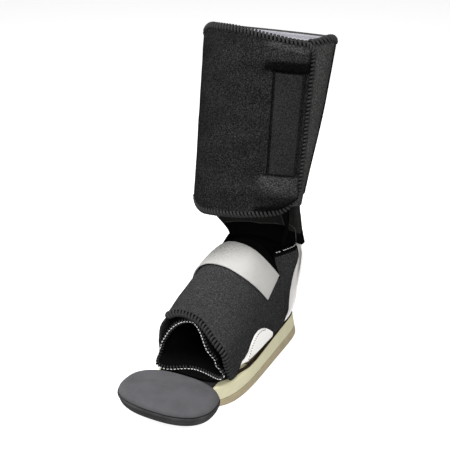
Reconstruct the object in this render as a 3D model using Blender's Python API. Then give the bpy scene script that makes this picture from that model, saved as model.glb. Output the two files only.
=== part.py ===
"""Ankle foot orthosis: a padded boot carried by a bent plastic shell.

A white plastic shell runs from a footplate with side wings, round an open heel bow, up behind the calf.
It carries a padded calf cuff with an opening front flap, a padded foot wrap with an opening flap and a
hook strap, a two-layer walking sole and a toe pad on a plate that slides under the footplate.

Lengths are in metres and angles in degrees. The toes point along -Y, the wearer's left is +X, and the
ground is z = 0. Sections of the calf cuff count their angle from the -X side over the front, sections of
the foot wrap from the +X side over the instep.
"""
import math

import bmesh
import bpy
from mathutils import Matrix, Vector

# Clearances and edges
SEAT = 0.0004                # between pieces that lie on each other
SEAM = 0.0006                # between the edges of panels sewn side by side
SCREW_CLEAR = 0.0004         # round a screw in its hole or slot
PANEL_EDGE = 0.003           # width of the thinner edge of a padded panel
EDGE_TUCK = 0.28             # share of the thickness that each side of a panel loses at its edge
THIN_TUCK = 0.14             # the same for plastic, webbing and single fabric

# Walking sole
OUTSOLE_THICK = 0.0100
MIDSOLE_THICK = 0.0171
SOLE_TOE_Y = -0.099
SOLE_HEEL_Y = 0.1175
SOLE_BALL_HALF = 0.053
SOLE_HEEL_HALF = 0.0475
SOLE_HEEL_FLARE = 0.006      # how far the heel's foot stands out past its top
SOLE_TOE_ROUND = 3.2         # superellipse powers of the plan's two ends
SOLE_HEEL_ROUND = 7.0
SOLE_GROOVE = 0.0012         # depth of the groove between the two layers
SOLE_EDGE = 0.0014           # rounding of the outer edges
SOLE_STATIONS = 26
SOLE_END_SHARE = 0.97        # share of the half turn after which the plan is cut blunt
TOE_SPRING = 0.005           # lift of the outsole at its toe end
TOE_SPRING_Y = -0.055        # where that lift starts

# Hook and loop pads that hold the sole
SOLE_PAD_THICK = 0.0015
SOLE_PAD_INSET = 0.0016      # from the edge of the sole's top

# Plastic shell
SHELL_THICK = 0.0032
FOOTPLATE_TOE_Y = -0.087
FOOTPLATE_HALF = 0.0445
FOOTPLATE_CORNER = 0.024
SHELL_BEND = 0.006           # inner radius between the footplate and a wing
HEEL_BOW = 0.027             # inner radius of the heel bow
HEEL_BULGE = 0.008           # how far the shell bellies out behind the heel
HEEL_LOW_HALF = 0.0445       # half widths at the bow's top, behind the heel and behind the calf
HEEL_HALF = 0.051
HEEL_WIDE_SHARE = 0.36       # where it is widest, as a share of the height up to the cuff
HEEL_WIDE_BELOW = 0.25       # how quickly it narrows below and above that
HEEL_WIDE_ABOVE = 0.15
UPRIGHT_HALF = 0.040
UPRIGHT_CORNER = 0.020
UPRIGHT_LENGTH = 0.150       # part of the upright behind the calf cuff
WING_HEIGHT = 0.027          # above the footplate
WING_TOE_Y = -0.042
WING_TOP_Y = -0.011
WING_HEEL_Y = 0.033
SHELL_FLAT_SHARE = 0.9       # share of a section before its edge columns
BOW_STATIONS = 6
WING_STATIONS = 9
HEEL_STATIONS = 12

# Foot wrap
LINER_THICK = 0.004
TAPE_THICK = 0.0009          # hook tapes and hook pads
WRAP_THICK = 0.0043
FOOT_HALF = 0.0385           # half width of the foot space
FOOT_SHIFT_X = -0.002        # the wrap stands a little to the wearer's right
FOOT_CENTRE_Z = 0.058        # height where the foot space is widest
INSTEP_Z = 0.138             # top of the closed wrap
INSTEP_Y = 0.035
TOE_BOX_Z = 0.084
TOE_BOX_Y = -0.090
INSTEP_CURVE = 1.55
UPPER_ROUND = 2.2            # superellipse powers of the upper and lower half of a section
LOWER_ROUND = 3.5
WRAP_HEEL_Y = 0.060          # where the wrap meets the heel collar
WRAP_FRONT_Y = -0.063
WRAP_FRONT_LOBE = 0.021      # how far the front edge swings forward on the wearer's left
LOBE_ANGLE = 35.0
LOBE_HIGH_WIDTH = 45.0
LOBE_LOW_WIDTH = 110.0
LINER_FRONT_Y = -0.068       # top edge of the liner
LINER_FLOOR_LOBE = 0.020     # how far the liner's floor reaches past its top edge
FLAP_HINGE_Z = 0.064         # hinge line of the foot flap, above the wings
FLAP_END_TOE_ANGLE = 150.0   # free edge of the foot flap at its toe and heel ends
FLAP_END_HEEL_ANGLE = 122.0
SIDE_FOOT_ANGLE = 30.0       # how far the side panels reach below the widest line
SIDE_EDGE_THIN = 0.5         # share of the right side panel's thickness lost at its edge under the strap
SIDE_THIN_SHARE = 0.55       # share of that panel over which the thickness comes back
FLAP_TAPE_SPAN = 16.0        # angle covered by the hook tape under the flap's free edge

# Instep strap
STRAP_THICK = 0.0016
STRAP_HALF = 0.0225
STRAP_END_ANGLE = 25.0
STRAP_FAR_ANGLE = 164.0
STRAP_TOP_Y = 0.016
STRAP_TOP_ANGLE = 75.0
STRAP_END_SWEEP = 0.0195     # how far the strap's ends run back from its crossing
STRAP_FAR_SWEEP = 0.0195
STRAP_END_SKEW = 5.0         # slant of the square-cut end
STRAP_HOOK_SPAN = 26.0       # angle covered by each pad under the strap
STRAP_PAD_INSET = 0.003

# Heel collar and ankle pad
COLLAR_THICK = 0.0048
COLLAR_FRONT_Y = WRAP_HEEL_Y + SEAM
COLLAR_CENTRE_Y = 0.068
COLLAR_SIDE_SHARE = 0.08     # share of the collar that runs straight along each side
COLLAR_ROUND = 5.0           # superellipse power of its plan behind that
COLLAR_CLEAR = 0.0014        # loose fit in front of the shell
COLLAR_LEAN = 0.0115         # how far its top leans in over the instep at the front
COLLAR_HEEL_TUCK = 0.007     # how far its foot stays inside the shell's edges, and its top outside them
COLLAR_HEEL_FLARE = 0.003
COLLAR_LEFT_Z = 0.135        # top edge at the wearer's left front, the heel and the right front
COLLAR_HEEL_Z = 0.121
COLLAR_LEVEL_Y = 0.094       # behind this the top edge is level
COLLAR_RIGHT_Z = 0.116
ANKLE_PAD_THICK = 0.005
ANKLE_PAD_HALF = 0.051
ANKLE_PAD_SHIFT_X = -0.004   # it reaches further round on the wearer's right
ANKLE_PAD_DEPTH = 0.041
ANKLE_PAD_LOW_ANGLE = 48.0   # how far the pad wraps at its lower and upper end
ANKLE_PAD_HIGH_ANGLE = 104.0
SLEEVE_THICK = 0.002         # fabric sleeve round the upright between the collar and the cuff
SLEEVE_CLEAR = 0.0014        # loose fit of the sleeve
SLEEVE_SIDE = 0.0010         # extra room at the shell's edges, which turn forward
SLEEVE_END_SHARE = 0.97      # where the sleeve ends below the cuff

# Calf cuff, along a leg axis that leans back
LEG_BASE_Y = 0.063
LEG_BASE_Z = 0.190
LEG_LEAN = 11.6
CALF_SPAN = 0.183            # length over which the calf section grows
CALF_LOW_HALF = 0.0555
CALF_HIGH_HALF = 0.0645
CALF_LOW_DEPTH = 0.029
CALF_HIGH_DEPTH = 0.033
CALF_LOW_SHIFT_X = 0.0005    # the flap's extra layer lies on the -X side and the front
CALF_HIGH_SHIFT_X = 0.004
CALF_SHIFT_BACK = 0.004
LINING_THICK = 0.0031
CUFF_THICK = 0.006
CUFF_FLAP_THICK = 0.006
CUFF_TOP = 0.191             # heights along the leg axis from here on
CUFF_TOP_DROP = 0.007        # how far the back panel's top slopes down to its front edge
LINING_LOW = 0.004
LINING_TOP = 0.187
INNER_FLAP_LOW = 0.008
INNER_FLAP_TOP = 0.180
INNER_FLAP_END_ANGLE = 24.0
LINING_END_ANGLE = 366.0
BACK_START_ANGLE = 140.0
BACK_LEVEL_ANGLE = 175.0
BACK_END_ANGLE = 358.0
CUFF_STEP_ANGLE = 9.0
HOOK_PAD_ANGLE = 18.0        # half the angle that a hook pad on the upright covers
HOOK_PAD_LENGTH = 0.030
HOOK_PAD_END = 0.025         # from the cuff's lower edge and from the upright's top

# Opening flap of the calf cuff
CUFF_FLAP_TOP = 0.1915
CUFF_FLAP_TOP_DROP = 0.009
CUFF_FLAP_DROP_START = 0.45  # share of the flap's width at which its top edge starts to fall
CUFF_FLAP_DROP_SPAN = 0.5
CUFF_FLAP_LOW = -0.024
CUFF_FLAP_LOW_RISE = 0.024
CUFF_FLAP_FREE_ANGLE = 157.0
CUFF_FLAP_FREE_SLANT = 68.0  # degrees that the free edge gains per metre downwards
CUFF_FLAP_TOP_CORNER = 0.013
CUFF_FLAP_LOW_CORNER = 0.028
STRIP_START = 0.75           # shares of the flap's width between which the strip lies
STRIP_END = 0.935
STRIP_LOW = 0.0345
STRIP_HIGH = 0.149
STRIP_THICK = 0.0018
STRIP_RECESS = 0.0028
FLAP_EDGE_SHARE = 0.12       # shares of the padding above and below the strip: edge row and ledge
FLAP_LEDGE_SHARE = 0.06
CUFF_TAPE_START = 112.0
CUFF_TAPE_END = 142.0

# Toe plate, its screws and its pad
TOE_PLATE_THICK = 0.0032
TOE_TRAVEL = 0.035
TONGUE_HALF = 0.032
TONGUE_WEB = 0.008           # material behind the slots
SCREW_X = 0.018
SCREW_Y = -0.076
SCREW_RADIUS = 0.002
SCREW_HEAD_RADIUS = 0.0044
SCREW_HEAD_HIGH = 0.0022
SCREW_POKE = 0.0045          # length of the screw inside its nut
NUT_RADIUS = 0.006
NUT_HIGH = 0.005
NUT_POCKET_CLEAR = 0.0005
TOE_PAD_HALF = 0.056
TOE_PAD_HALF_LENGTH = 0.0355
TOE_PAD_Y = -0.1275
TOE_PAD_ROUND = 2.5
TOE_PAD_CROWN = 0.0075
TOE_PAD_BELOW = 0.0085
TOE_PAD_SEAM_SHARE = 0.985   # size of the pad where it is drawn in at its seam
TOE_PAD_TOP_SHARE = 0.5      # size of the flat middle of the top and of the underside
TOE_PAD_BASE_SHARE = 0.9
TOE_PAD_FIRST_TURN = 15.0
TOE_PLATE_SHARE = 0.965      # size of the plate against its pad
TOE_PAD_SOLE_GAP = 0.0025
TURN_SIDES = 24
PAD_SIDES = 48

# Stack of the sole and footplate
SOLE_TOP = OUTSOLE_THICK + SEAT + MIDSOLE_THICK
SOLE_PAD_LOW = SOLE_TOP + SEAT
LOOP_PAD_LOW = SOLE_PAD_LOW + SOLE_PAD_THICK + SEAT
TOE_PLATE_LOW = SOLE_TOP + SEAT
FOOTPLATE_LOW = max(LOOP_PAD_LOW + SOLE_PAD_THICK, TOE_PLATE_LOW + TOE_PLATE_THICK) + SEAT
FOOTPLATE_TOP = FOOTPLATE_LOW + SHELL_THICK
TONGUE_END_Y = SCREW_Y + TOE_TRAVEL + SCREW_RADIUS + SCREW_CLEAR + TONGUE_WEB
SOLE_PAD_TOE_Y = TONGUE_END_Y + SEAM

# Stack of the foot wrap, as distances from the foot space
WRAP_IN = LINER_THICK + SEAT + TAPE_THICK + SEAT
WRAP_OUT = WRAP_IN + WRAP_THICK
STRAP_PAD_IN = WRAP_OUT + SEAT
STRAP_IN = STRAP_PAD_IN + TAPE_THICK + SEAT
STRAP_OUT = STRAP_IN + STRAP_THICK
FOOT_FLOOR_Z = FOOTPLATE_TOP + SEAT + LINER_THICK
WING_IN_X = FOOT_HALF + WRAP_OUT + SEAT

# Stack of the calf cuff, as distances from the leg space
CUFF_IN = LINING_THICK + SEAT
CUFF_OUT = CUFF_IN + CUFF_THICK
CUFF_PAD_IN = CUFF_OUT + SEAT
CUFF_FLAP_IN = CUFF_PAD_IN + TAPE_THICK + SEAT
CUFF_FLAP_OUT = CUFF_FLAP_IN + CUFF_FLAP_THICK
SHELL_IN = CUFF_FLAP_IN

LEG_UP = Vector((0.0, math.sin(math.radians(LEG_LEAN)), math.cos(math.radians(LEG_LEAN))))
LEG_BACK = Vector((0.0, LEG_UP.z, -LEG_UP.y))
LEG_BASE = Vector((0.0, LEG_BASE_Y, LEG_BASE_Z))

# Name: base colour, roughness, metallic
SKINS = {
    "black_loop_fabric": ((0.018, 0.018, 0.020), 0.95, 0.0),
    "black_lining": ((0.014, 0.014, 0.015), 0.90, 0.0),
    "grey_lining": ((0.42, 0.42, 0.43), 0.90, 0.0),
    "strap_webbing": ((0.62, 0.60, 0.57), 0.80, 0.0),
    "black_hook_tape": ((0.02, 0.02, 0.02), 0.70, 0.0),
    "white_plastic": ((0.80, 0.77, 0.75), 0.40, 0.0),
    "cream_midsole": ((0.58, 0.54, 0.36), 0.65, 0.0),
    "tan_outsole": ((0.40, 0.32, 0.18), 0.75, 0.0),
    "brown_loop_pad": ((0.045, 0.032, 0.025), 0.95, 0.0),
    "grey_upholstery": ((0.13, 0.13, 0.14), 0.85, 0.0),
    "dark_upholstery": ((0.035, 0.035, 0.037), 0.85, 0.0),
    "grey_plate": ((0.25, 0.25, 0.26), 0.50, 0.0),
    "zinc_steel": ((0.60, 0.60, 0.62), 0.35, 1.0),
}


def mix(first, last, share):
    """Value at a share of the way from first to last."""
    return first + (last - first) * share


def ease(share):
    """Smooth step from 0 to 1."""
    share = min(max(share, 0.0), 1.0)
    return share * share * (3.0 - 2.0 * share)


def steps(first, last, count):
    """Evenly spaced values, both ends included."""
    return [mix(first, last, k / count) for k in range(count + 1)]


def edged(length, count, edge=PANEL_EDGE):
    """Shares across a panel: evenly spaced, with a narrow edge row at both ends."""
    share = edge / length
    return [0.0] + steps(share, 1.0 - share, count) + [1.0]


def signed_power(value, power):
    """Power of a value that keeps its sign."""
    return math.copysign(abs(value) ** power, value)


def clear_scene():
    """Remove every object of the scene."""
    for item in list(bpy.data.objects):
        bpy.data.objects.remove(item, do_unlink=True)


def skin(name):
    """Material with the named colour, roughness and metallic value."""
    found = bpy.data.materials.get(name)
    if found:
        return found
    colour, roughness, metallic = SKINS[name]
    made = bpy.data.materials.new(name)
    made.use_nodes = True
    shader = made.node_tree.nodes["Principled BSDF"]
    shader.inputs["Base Color"].default_value = (*colour, 1.0)
    shader.inputs["Roughness"].default_value = roughness
    shader.inputs["Metallic"].default_value = metallic
    made.diffuse_color = (*colour, 1.0)
    return made


def pivot(name, place, parent=None):
    """Empty that stands on a joint's axis."""
    empty = bpy.data.objects.new(name, None)
    empty.empty_display_size = 0.02
    bpy.context.scene.collection.objects.link(empty)
    empty.parent = parent
    empty.location = place - (world_place(parent) if parent else Vector())
    return empty


def world_place(item):
    """World position of an empty that is only moved, never turned."""
    place = Vector()
    while item:
        place += item.location
        item = item.parent
    return place


def add(name, bm, skin_name, parent=None, sharp=35.0):
    """Object from a mesh written in world coordinates, under its joint's empty."""
    bmesh.ops.recalc_face_normals(bm, faces=bm.faces)
    bm.transform(Matrix.Translation(-world_place(parent)))
    mesh = bpy.data.meshes.new(name)
    bm.to_mesh(mesh)
    bm.free()
    mesh.shade_smooth()
    mesh.set_sharp_from_angle(angle=math.radians(sharp))
    mesh.materials.append(skin(skin_name))
    item = bpy.data.objects.new(name, mesh)
    bpy.context.scene.collection.objects.link(item)
    item.parent = parent
    return item


def cut(target, cutters):
    """Take the cutters' shapes out of a piece."""
    for number, cutter in enumerate(cutters):
        cutter.hide_render = True
        cutter.display_type = "WIRE"
        modifier = target.modifiers.new(f"cut_{number}", "BOOLEAN")
        modifier.operation = "DIFFERENCE"
        modifier.solver = "EXACT"
        modifier.object = cutter


def panel(name, inner, outer, skin_name, parent=None, tuck=EDGE_TUCK):
    """Closed padded sheet between two grids of points, thinner along its edges."""
    bm = bmesh.new()
    columns = len(inner)
    rows = len(inner[0])
    low = []
    high = []
    for i in range(columns):
        low.append([])
        high.append([])
        for j in range(rows):
            border = i in (0, columns - 1) or j in (0, rows - 1)
            share = tuck if border else 0.0
            low[i].append(bm.verts.new(inner[i][j].lerp(outer[i][j], share)))
            high[i].append(bm.verts.new(outer[i][j].lerp(inner[i][j], share)))
    for i in range(columns - 1):
        for j in range(rows - 1):
            bm.faces.new((high[i][j], high[i + 1][j], high[i + 1][j + 1], high[i][j + 1]))
            bm.faces.new((low[i][j], low[i][j + 1], low[i + 1][j + 1], low[i + 1][j]))
        for j in (0, rows - 1):
            bm.faces.new((low[i][j], low[i + 1][j], high[i + 1][j], high[i][j]))
    for j in range(rows - 1):
        for i in (0, columns - 1):
            bm.faces.new((low[i][j], low[i][j + 1], high[i][j + 1], high[i][j]))
    return add(name, bm, skin_name, parent)


def tube(name, inner, outer, skin_name, parent=None, tuck=EDGE_TUCK):
    """Closed padded tube whose columns run round it, thinner along both rims."""
    bm = bmesh.new()
    columns = len(inner)
    rows = len(inner[0])
    low = []
    high = []
    for i in range(columns):
        shares = [tuck if j in (0, rows - 1) else 0.0 for j in range(rows)]
        low.append([bm.verts.new(inner[i][j].lerp(outer[i][j], shares[j])) for j in range(rows)])
        high.append([bm.verts.new(outer[i][j].lerp(inner[i][j], shares[j])) for j in range(rows)])
    for i in range(columns):
        k = (i + 1) % columns
        for j in range(rows - 1):
            bm.faces.new((high[i][j], high[k][j], high[k][j + 1], high[i][j + 1]))
            bm.faces.new((low[i][j], low[i][j + 1], low[k][j + 1], low[k][j]))
        for j in (0, rows - 1):
            bm.faces.new((low[i][j], low[k][j], high[k][j], high[i][j]))
    return add(name, bm, skin_name, parent)


def layer(place, us, vs, inside, outside):
    """Inner and outer grid of a panel whose points are place(u, v, distance)."""
    inner = [[place(u, v, inside) for v in vs] for u in us]
    outer = [[place(u, v, outside) for v in vs] for u in us]
    return inner, outer


def thicken(grid, thickness, towards):
    """Grid moved along its own normals by a thickness, away from the point towards."""
    columns = len(grid)
    rows = len(grid[0])
    moved = []
    for i in range(columns):
        moved.append([])
        for j in range(rows):
            across = grid[min(i + 1, columns - 1)][j] - grid[max(i - 1, 0)][j]
            along = grid[i][min(j + 1, rows - 1)] - grid[i][max(j - 1, 0)]
            normal = across.cross(along).normalized()
            if normal.dot(grid[i][j] - towards) < 0.0:
                normal.negate()
            moved[i].append(grid[i][j] + normal * thickness)
    return moved


def turned(name, centre, profile, skin_name, parent=None):
    """Turned piece on a vertical axis from a closed profile of (radius, height)."""
    bm = bmesh.new()
    rings = []
    for radius, height in profile:
        if radius == 0.0:
            rings.append([bm.verts.new((centre[0], centre[1], height))])
            continue
        angles = [2.0 * math.pi * k / TURN_SIDES for k in range(TURN_SIDES)]
        round_points = [(centre[0] + radius * math.cos(a), centre[1] + radius * math.sin(a)) for a in angles]
        rings.append([bm.verts.new((x, y, height)) for x, y in round_points])
    closed = profile[0][0] > 0.0
    pairs = list(zip(rings, rings[1:] + rings[:1])) if closed else list(zip(rings, rings[1:]))
    for first, second in pairs:
        join_rings(bm, first, second)
    return add(name, bm, skin_name, parent)


def screw_places():
    """Names and axes of the two toe plate screws."""
    return [("left", (SCREW_X, SCREW_Y)), ("right", (-SCREW_X, SCREW_Y))]


def join_rings(bm, first, second):
    """Faces between two rings of points, one of which may be a single point."""
    count = max(len(first), len(second))
    for k in range(count):
        n = (k + 1) % count
        if len(first) == 1:
            bm.faces.new((first[0], second[k], second[n]))
        elif len(second) == 1:
            bm.faces.new((first[k], first[n], second[0]))
        else:
            bm.faces.new((first[k], first[n], second[n], second[k]))


def sole_half(y, z):
    """Half width of the walking sole at a station and height."""
    middle = (SOLE_TOE_Y + SOLE_HEEL_Y) / 2.0
    reach = (SOLE_HEEL_Y - SOLE_TOE_Y) / 2.0
    share = (y - SOLE_TOE_Y) / (SOLE_HEEL_Y - SOLE_TOE_Y)
    low = mix(SOLE_BALL_HALF, SOLE_HEEL_HALF, ease(share))
    high = low - SOLE_HEEL_FLARE * ease(share)
    power = SOLE_TOE_ROUND if y < middle else SOLE_HEEL_ROUND
    end = (1.0 - abs((y - middle) / reach) ** power) ** (1.0 / power)
    return mix(low, high, z / SOLE_TOP) * end


def sole_layer(name, levels, skin_name, toe_y, heel_y, width=1.0):
    """Slab with the sole's plan or a share of its width, from levels of (height, inset), toe sprung below."""
    middle = (toe_y + heel_y) / 2.0
    reach = (heel_y - toe_y) / 2.0
    first = 0.5 * math.pi * SOLE_END_SHARE
    stations = [middle + reach * math.sin(a) for a in steps(-first, first, SOLE_STATIONS)]
    bm = bmesh.new()
    left = []
    right = []
    for y in stations:
        spring = TOE_SPRING * max(0.0, (TOE_SPRING_Y - y) / (TOE_SPRING_Y - SOLE_TOE_Y)) ** 2
        left.append([])
        right.append([])
        for height, inset in levels:
            half = sole_half(y, height) * width - inset
            lift = spring * max(0.0, 1.0 - height / OUTSOLE_THICK)
            left[-1].append(bm.verts.new((-half, y, height + lift)))
            right[-1].append(bm.verts.new((half, y, height + lift)))
    last = len(levels) - 1
    for i in range(len(stations) - 1):
        for j in range(last):
            bm.faces.new((left[i][j], left[i + 1][j], left[i + 1][j + 1], left[i][j + 1]))
            bm.faces.new((right[i][j], right[i][j + 1], right[i + 1][j + 1], right[i + 1][j]))
        for j in (0, last):
            bm.faces.new((left[i][j], right[i][j], right[i + 1][j], left[i + 1][j]))
    for i in (0, len(stations) - 1):
        for j in range(last):
            bm.faces.new((left[i][j], right[i][j], right[i][j + 1], left[i][j + 1]))
    return add(name, bm, skin_name)


def build_sole():
    """Outsole, midsole with its nut pockets, and the hook and loop pads above it."""
    low = OUTSOLE_THICK
    outsole = [(0.0, SOLE_EDGE), (SOLE_EDGE, 0.0), (low - SOLE_EDGE, 0.0), (low, SOLE_GROOVE)]
    sole_layer("outsole", outsole, "tan_outsole", SOLE_TOE_Y, SOLE_HEEL_Y)
    low += SEAT
    midsole = [(low, SOLE_GROOVE), (low + SOLE_EDGE, 0.0), (SOLE_TOP - SOLE_EDGE, 0.0), (SOLE_TOP, SOLE_EDGE)]
    middle = sole_layer("midsole", midsole, "cream_midsole", SOLE_TOE_Y, SOLE_HEEL_Y)
    floor = SOLE_TOP - NUT_HIGH - SEAT
    radius = NUT_RADIUS + NUT_POCKET_CLEAR
    over = SOLE_TOP + NUT_HIGH
    profile = [(0.0, floor), (radius, floor), (radius, over), (0.0, over)]
    cut(middle, [turned(f"nut_pocket_{side}", place, profile, "cream_midsole")
                 for side, place in screw_places()])
    pad_heel_y = SOLE_HEEL_Y - SOLE_PAD_INSET
    hook = [(SOLE_PAD_LOW, SOLE_PAD_INSET), (SOLE_PAD_LOW + SOLE_PAD_THICK, SOLE_PAD_INSET)]
    sole_layer("sole_hook_pad", hook, "brown_loop_pad", SOLE_PAD_TOE_Y, pad_heel_y)
    loop = [(LOOP_PAD_LOW, 0.0), (LOOP_PAD_LOW + SOLE_PAD_THICK, 0.0)]
    footplate_share = FOOTPLATE_HALF / SOLE_BALL_HALF
    sole_layer("sole_loop_pad", loop, "brown_loop_pad", SOLE_PAD_TOE_Y, pad_heel_y, footplate_share)


def calf_half(height):
    """Half width of the leg space at a height along the leg axis."""
    return mix(CALF_LOW_HALF, CALF_HIGH_HALF, height / CALF_SPAN)


def calf_depth(height):
    """Half depth of the leg space at a height along the leg axis."""
    return mix(CALF_LOW_DEPTH, CALF_HIGH_DEPTH, height / CALF_SPAN)


def calf_shift(height):
    """Sideways place of the leg space's middle at a height along the leg axis."""
    return mix(CALF_LOW_SHIFT_X, CALF_HIGH_SHIFT_X, height / CALF_SPAN)


def calf_point(angle, height, distance):
    """Point round the calf: angle from -X over the front, height along the leg, distance outwards."""
    turn = math.radians(angle)
    x = calf_shift(height) - (calf_half(height) + distance) * math.cos(turn)
    back = CALF_SHIFT_BACK - (calf_depth(height) + distance) * math.sin(turn)
    return LEG_BASE + Vector((x, 0.0, 0.0)) + LEG_BACK * back + LEG_UP * height


def calf_back(height, distance):
    """Point of the calf section's middle line at the back."""
    point = calf_point(270.0, height, distance)
    return Vector((0.0, point.y, point.z))


def heel_y():
    """Inner face of the shell's vertical stretch behind the heel."""
    return calf_back(0.0, SHELL_IN).y


def shell_stations():
    """Stations along the shell's inner face: point, half length, forward normal, trough share, height."""
    up = Vector((0.0, 0.0, 1.0))
    forward = Vector((0.0, -1.0, 0.0))
    rows = []
    bow_y = heel_y() - HEEL_BOW
    corner = steps(0.0, FOOTPLATE_CORNER, 4)
    wing = steps(WING_TOE_Y, WING_HEEL_Y, WING_STATIONS)
    plate = [FOOTPLATE_TOE_Y + step for step in corner] + wing + [mix(WING_HEEL_Y, bow_y, 0.5)]
    for y in plate:
        rows.append((Vector((0.0, y, FOOTPLATE_TOP)), plate_reach(y), up, 0.0, 0.0))
    for angle in steps(0.0, 90.0, BOW_STATIONS):
        turn = math.radians(angle)
        normal = up * math.cos(turn) + forward * math.sin(turn)
        centre = Vector((0.0, bow_y, FOOTPLATE_TOP + HEEL_BOW))
        reach = mix(FOOTPLATE_HALF, HEEL_LOW_HALF, angle / 90.0)
        rows.append((centre - normal * HEEL_BOW, reach, normal, 0.0, 0.0))
    for share in steps(0.0, 1.0, HEEL_STATIONS)[1:]:
        rows.append(heel_station(share))
    top = UPRIGHT_LENGTH
    heights = steps(0.0, top - UPRIGHT_CORNER, 4)[1:] + steps(top - UPRIGHT_CORNER, top, 4)[1:]
    for height in heights:
        left = max(0.0, height - (top - UPRIGHT_CORNER))
        drop = UPRIGHT_CORNER - math.sqrt(max(0.0, UPRIGHT_CORNER ** 2 - left ** 2))
        rows.append((calf_back(height, SHELL_IN), UPRIGHT_HALF - drop, -LEG_BACK, 1.0, height))
    return rows


def heel_bulge(z):
    """How far the shell's vertical stretch bellies out at a height."""
    low = FOOTPLATE_TOP + HEEL_BOW
    share = (z - low) / (calf_back(0.0, SHELL_IN).z - low)
    return HEEL_BULGE * math.sin(math.pi * min(max(share, 0.0), 1.0)) ** 2


def heel_station(share):
    """Station of the shell's stretch behind the heel, from the bow's top to the cuff's lower edge."""
    z = mix(FOOTPLATE_TOP + HEEL_BOW, calf_back(0.0, SHELL_IN).z, share)
    point = Vector((0.0, heel_y() + heel_bulge(z), z))
    off = share - HEEL_WIDE_SHARE
    wide = math.exp(-(off / (HEEL_WIDE_ABOVE if off > 0.0 else HEEL_WIDE_BELOW)) ** 2)
    reach = mix(mix(HEEL_LOW_HALF, UPRIGHT_HALF, share), HEEL_HALF, wide)
    return point, reach, Vector((0.0, -1.0, 0.0)), ease(share), 0.0


def plate_reach(y):
    """Half length of the footplate's section, with its wings and its rounded toe corners."""
    end = WING_TOE_Y if y < WING_TOP_Y else WING_HEEL_Y
    wing = max(0.0, 1.0 - ((y - WING_TOP_Y) / (end - WING_TOP_Y)) ** 2)
    full = WING_IN_X - SHELL_BEND + SHELL_BEND * math.pi / 2.0 + WING_HEIGHT - SHELL_BEND
    corner = max(0.0, FOOTPLATE_TOE_Y + FOOTPLATE_CORNER - y)
    drop = FOOTPLATE_CORNER - math.sqrt(max(0.0, FOOTPLATE_CORNER ** 2 - corner ** 2))
    return mix(FOOTPLATE_HALF, full, wing) - drop


def shell_section(reach, normal, trough, height):
    """Points across the shell's inner face, from the edge at -X to the edge at +X."""
    flat = WING_IN_X - SHELL_BEND
    inner = min(flat, SHELL_FLAT_SHARE * reach)
    shares = steps(0.0, inner, 2) + steps(inner, reach, 5)[1:]
    wide = calf_half(height) + SHELL_IN
    deep = calf_depth(height) + SHELL_IN
    points = []
    for q in [-s for s in shares[:0:-1]] + shares:
        turn = min(max(abs(q) - flat, 0.0) / SHELL_BEND, math.pi / 2.0)
        rise = max(0.0, abs(q) - flat - SHELL_BEND * math.pi / 2.0)
        x = min(abs(q), flat) + SHELL_BEND * math.sin(turn)
        lift = SHELL_BEND * (1.0 - math.cos(turn)) + rise
        sag = deep * (1.0 - math.sqrt(1.0 - min(1.0, abs(q - calf_shift(height)) / wide) ** 2))
        side = math.copysign(mix(x, abs(q), trough), q) + mix(FOOT_SHIFT_X, 0.0, trough)
        points.append(Vector((side, 0.0, 0.0)) + normal * mix(lift, sag, trough))
    return points


def build_shell():
    """White plastic shell in one piece, drilled for the two toe plate screws."""
    grid = []
    for point, *section in shell_stations():
        grid.append([point + across for across in shell_section(*section)])
    inside = Vector((0.0, 0.0, INSTEP_Z))
    shell = panel("plastic_shell", grid, thicken(grid, SHELL_THICK, inside), "white_plastic", tuck=THIN_TUCK)
    hole = SCREW_RADIUS + SCREW_CLEAR
    sink = SCREW_HEAD_RADIUS + SCREW_CLEAR
    rim = FOOTPLATE_TOP - SEAT
    neck = rim - SCREW_HEAD_HIGH
    under = FOOTPLATE_LOW - SHELL_THICK
    over = FOOTPLATE_TOP + SHELL_THICK
    profile = [(0.0, under), (hole, under), (hole, neck), (sink, rim), (sink, over), (0.0, over)]
    cut(shell, [turned(f"screw_hole_{side}", place, profile, "white_plastic")
                for side, place in screw_places()])


def wrap_top(y):
    """Height of the closed foot wrap along its middle."""
    back = max(0.0, (INSTEP_Y - y) / (INSTEP_Y - TOE_BOX_Y))
    return INSTEP_Z - (INSTEP_Z - TOE_BOX_Z) * back ** INSTEP_CURVE


def foot_point(angle, y, distance):
    """Point round the foot: angle from +X over the instep, distance outwards from the foot space."""
    turn = math.radians(angle)
    sine = math.sin(turn)
    power = 2.0 / (UPPER_ROUND if sine >= 0.0 else LOWER_ROUND)
    top = wrap_top(y) - WRAP_OUT - FOOT_CENTRE_Z
    floor = FOOT_CENTRE_Z - FOOT_FLOOR_Z
    x = FOOT_SHIFT_X + (FOOT_HALF + distance) * signed_power(math.cos(turn), power)
    z = FOOT_CENTRE_Z + ((top if sine >= 0.0 else floor) + distance) * signed_power(sine, power)
    return Vector((x, y, z))


def angle_at(z, y, distance):
    """Angle at which the wearer's left side of the wrap reaches a height."""
    top = wrap_top(y) - WRAP_OUT - FOOT_CENTRE_Z + distance
    return math.degrees(math.asin(((z - FOOT_CENTRE_Z) / top) ** (UPPER_ROUND / 2.0)))


def wrap_front(angle):
    """Front edge of the foot wrap at an angle round the foot."""
    width = LOBE_HIGH_WIDTH if angle > LOBE_ANGLE else LOBE_LOW_WIDTH
    lobe = math.exp(-((angle - LOBE_ANGLE) / width) ** 2)
    return WRAP_FRONT_Y - WRAP_FRONT_LOBE * lobe


def liner_front(angle):
    """Front edge of the liner, which reaches further forward along its floor."""
    floor = 0.5 - 0.5 * math.sin(math.radians(angle))
    return LINER_FRONT_Y - LINER_FLOOR_LOBE * floor


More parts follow.
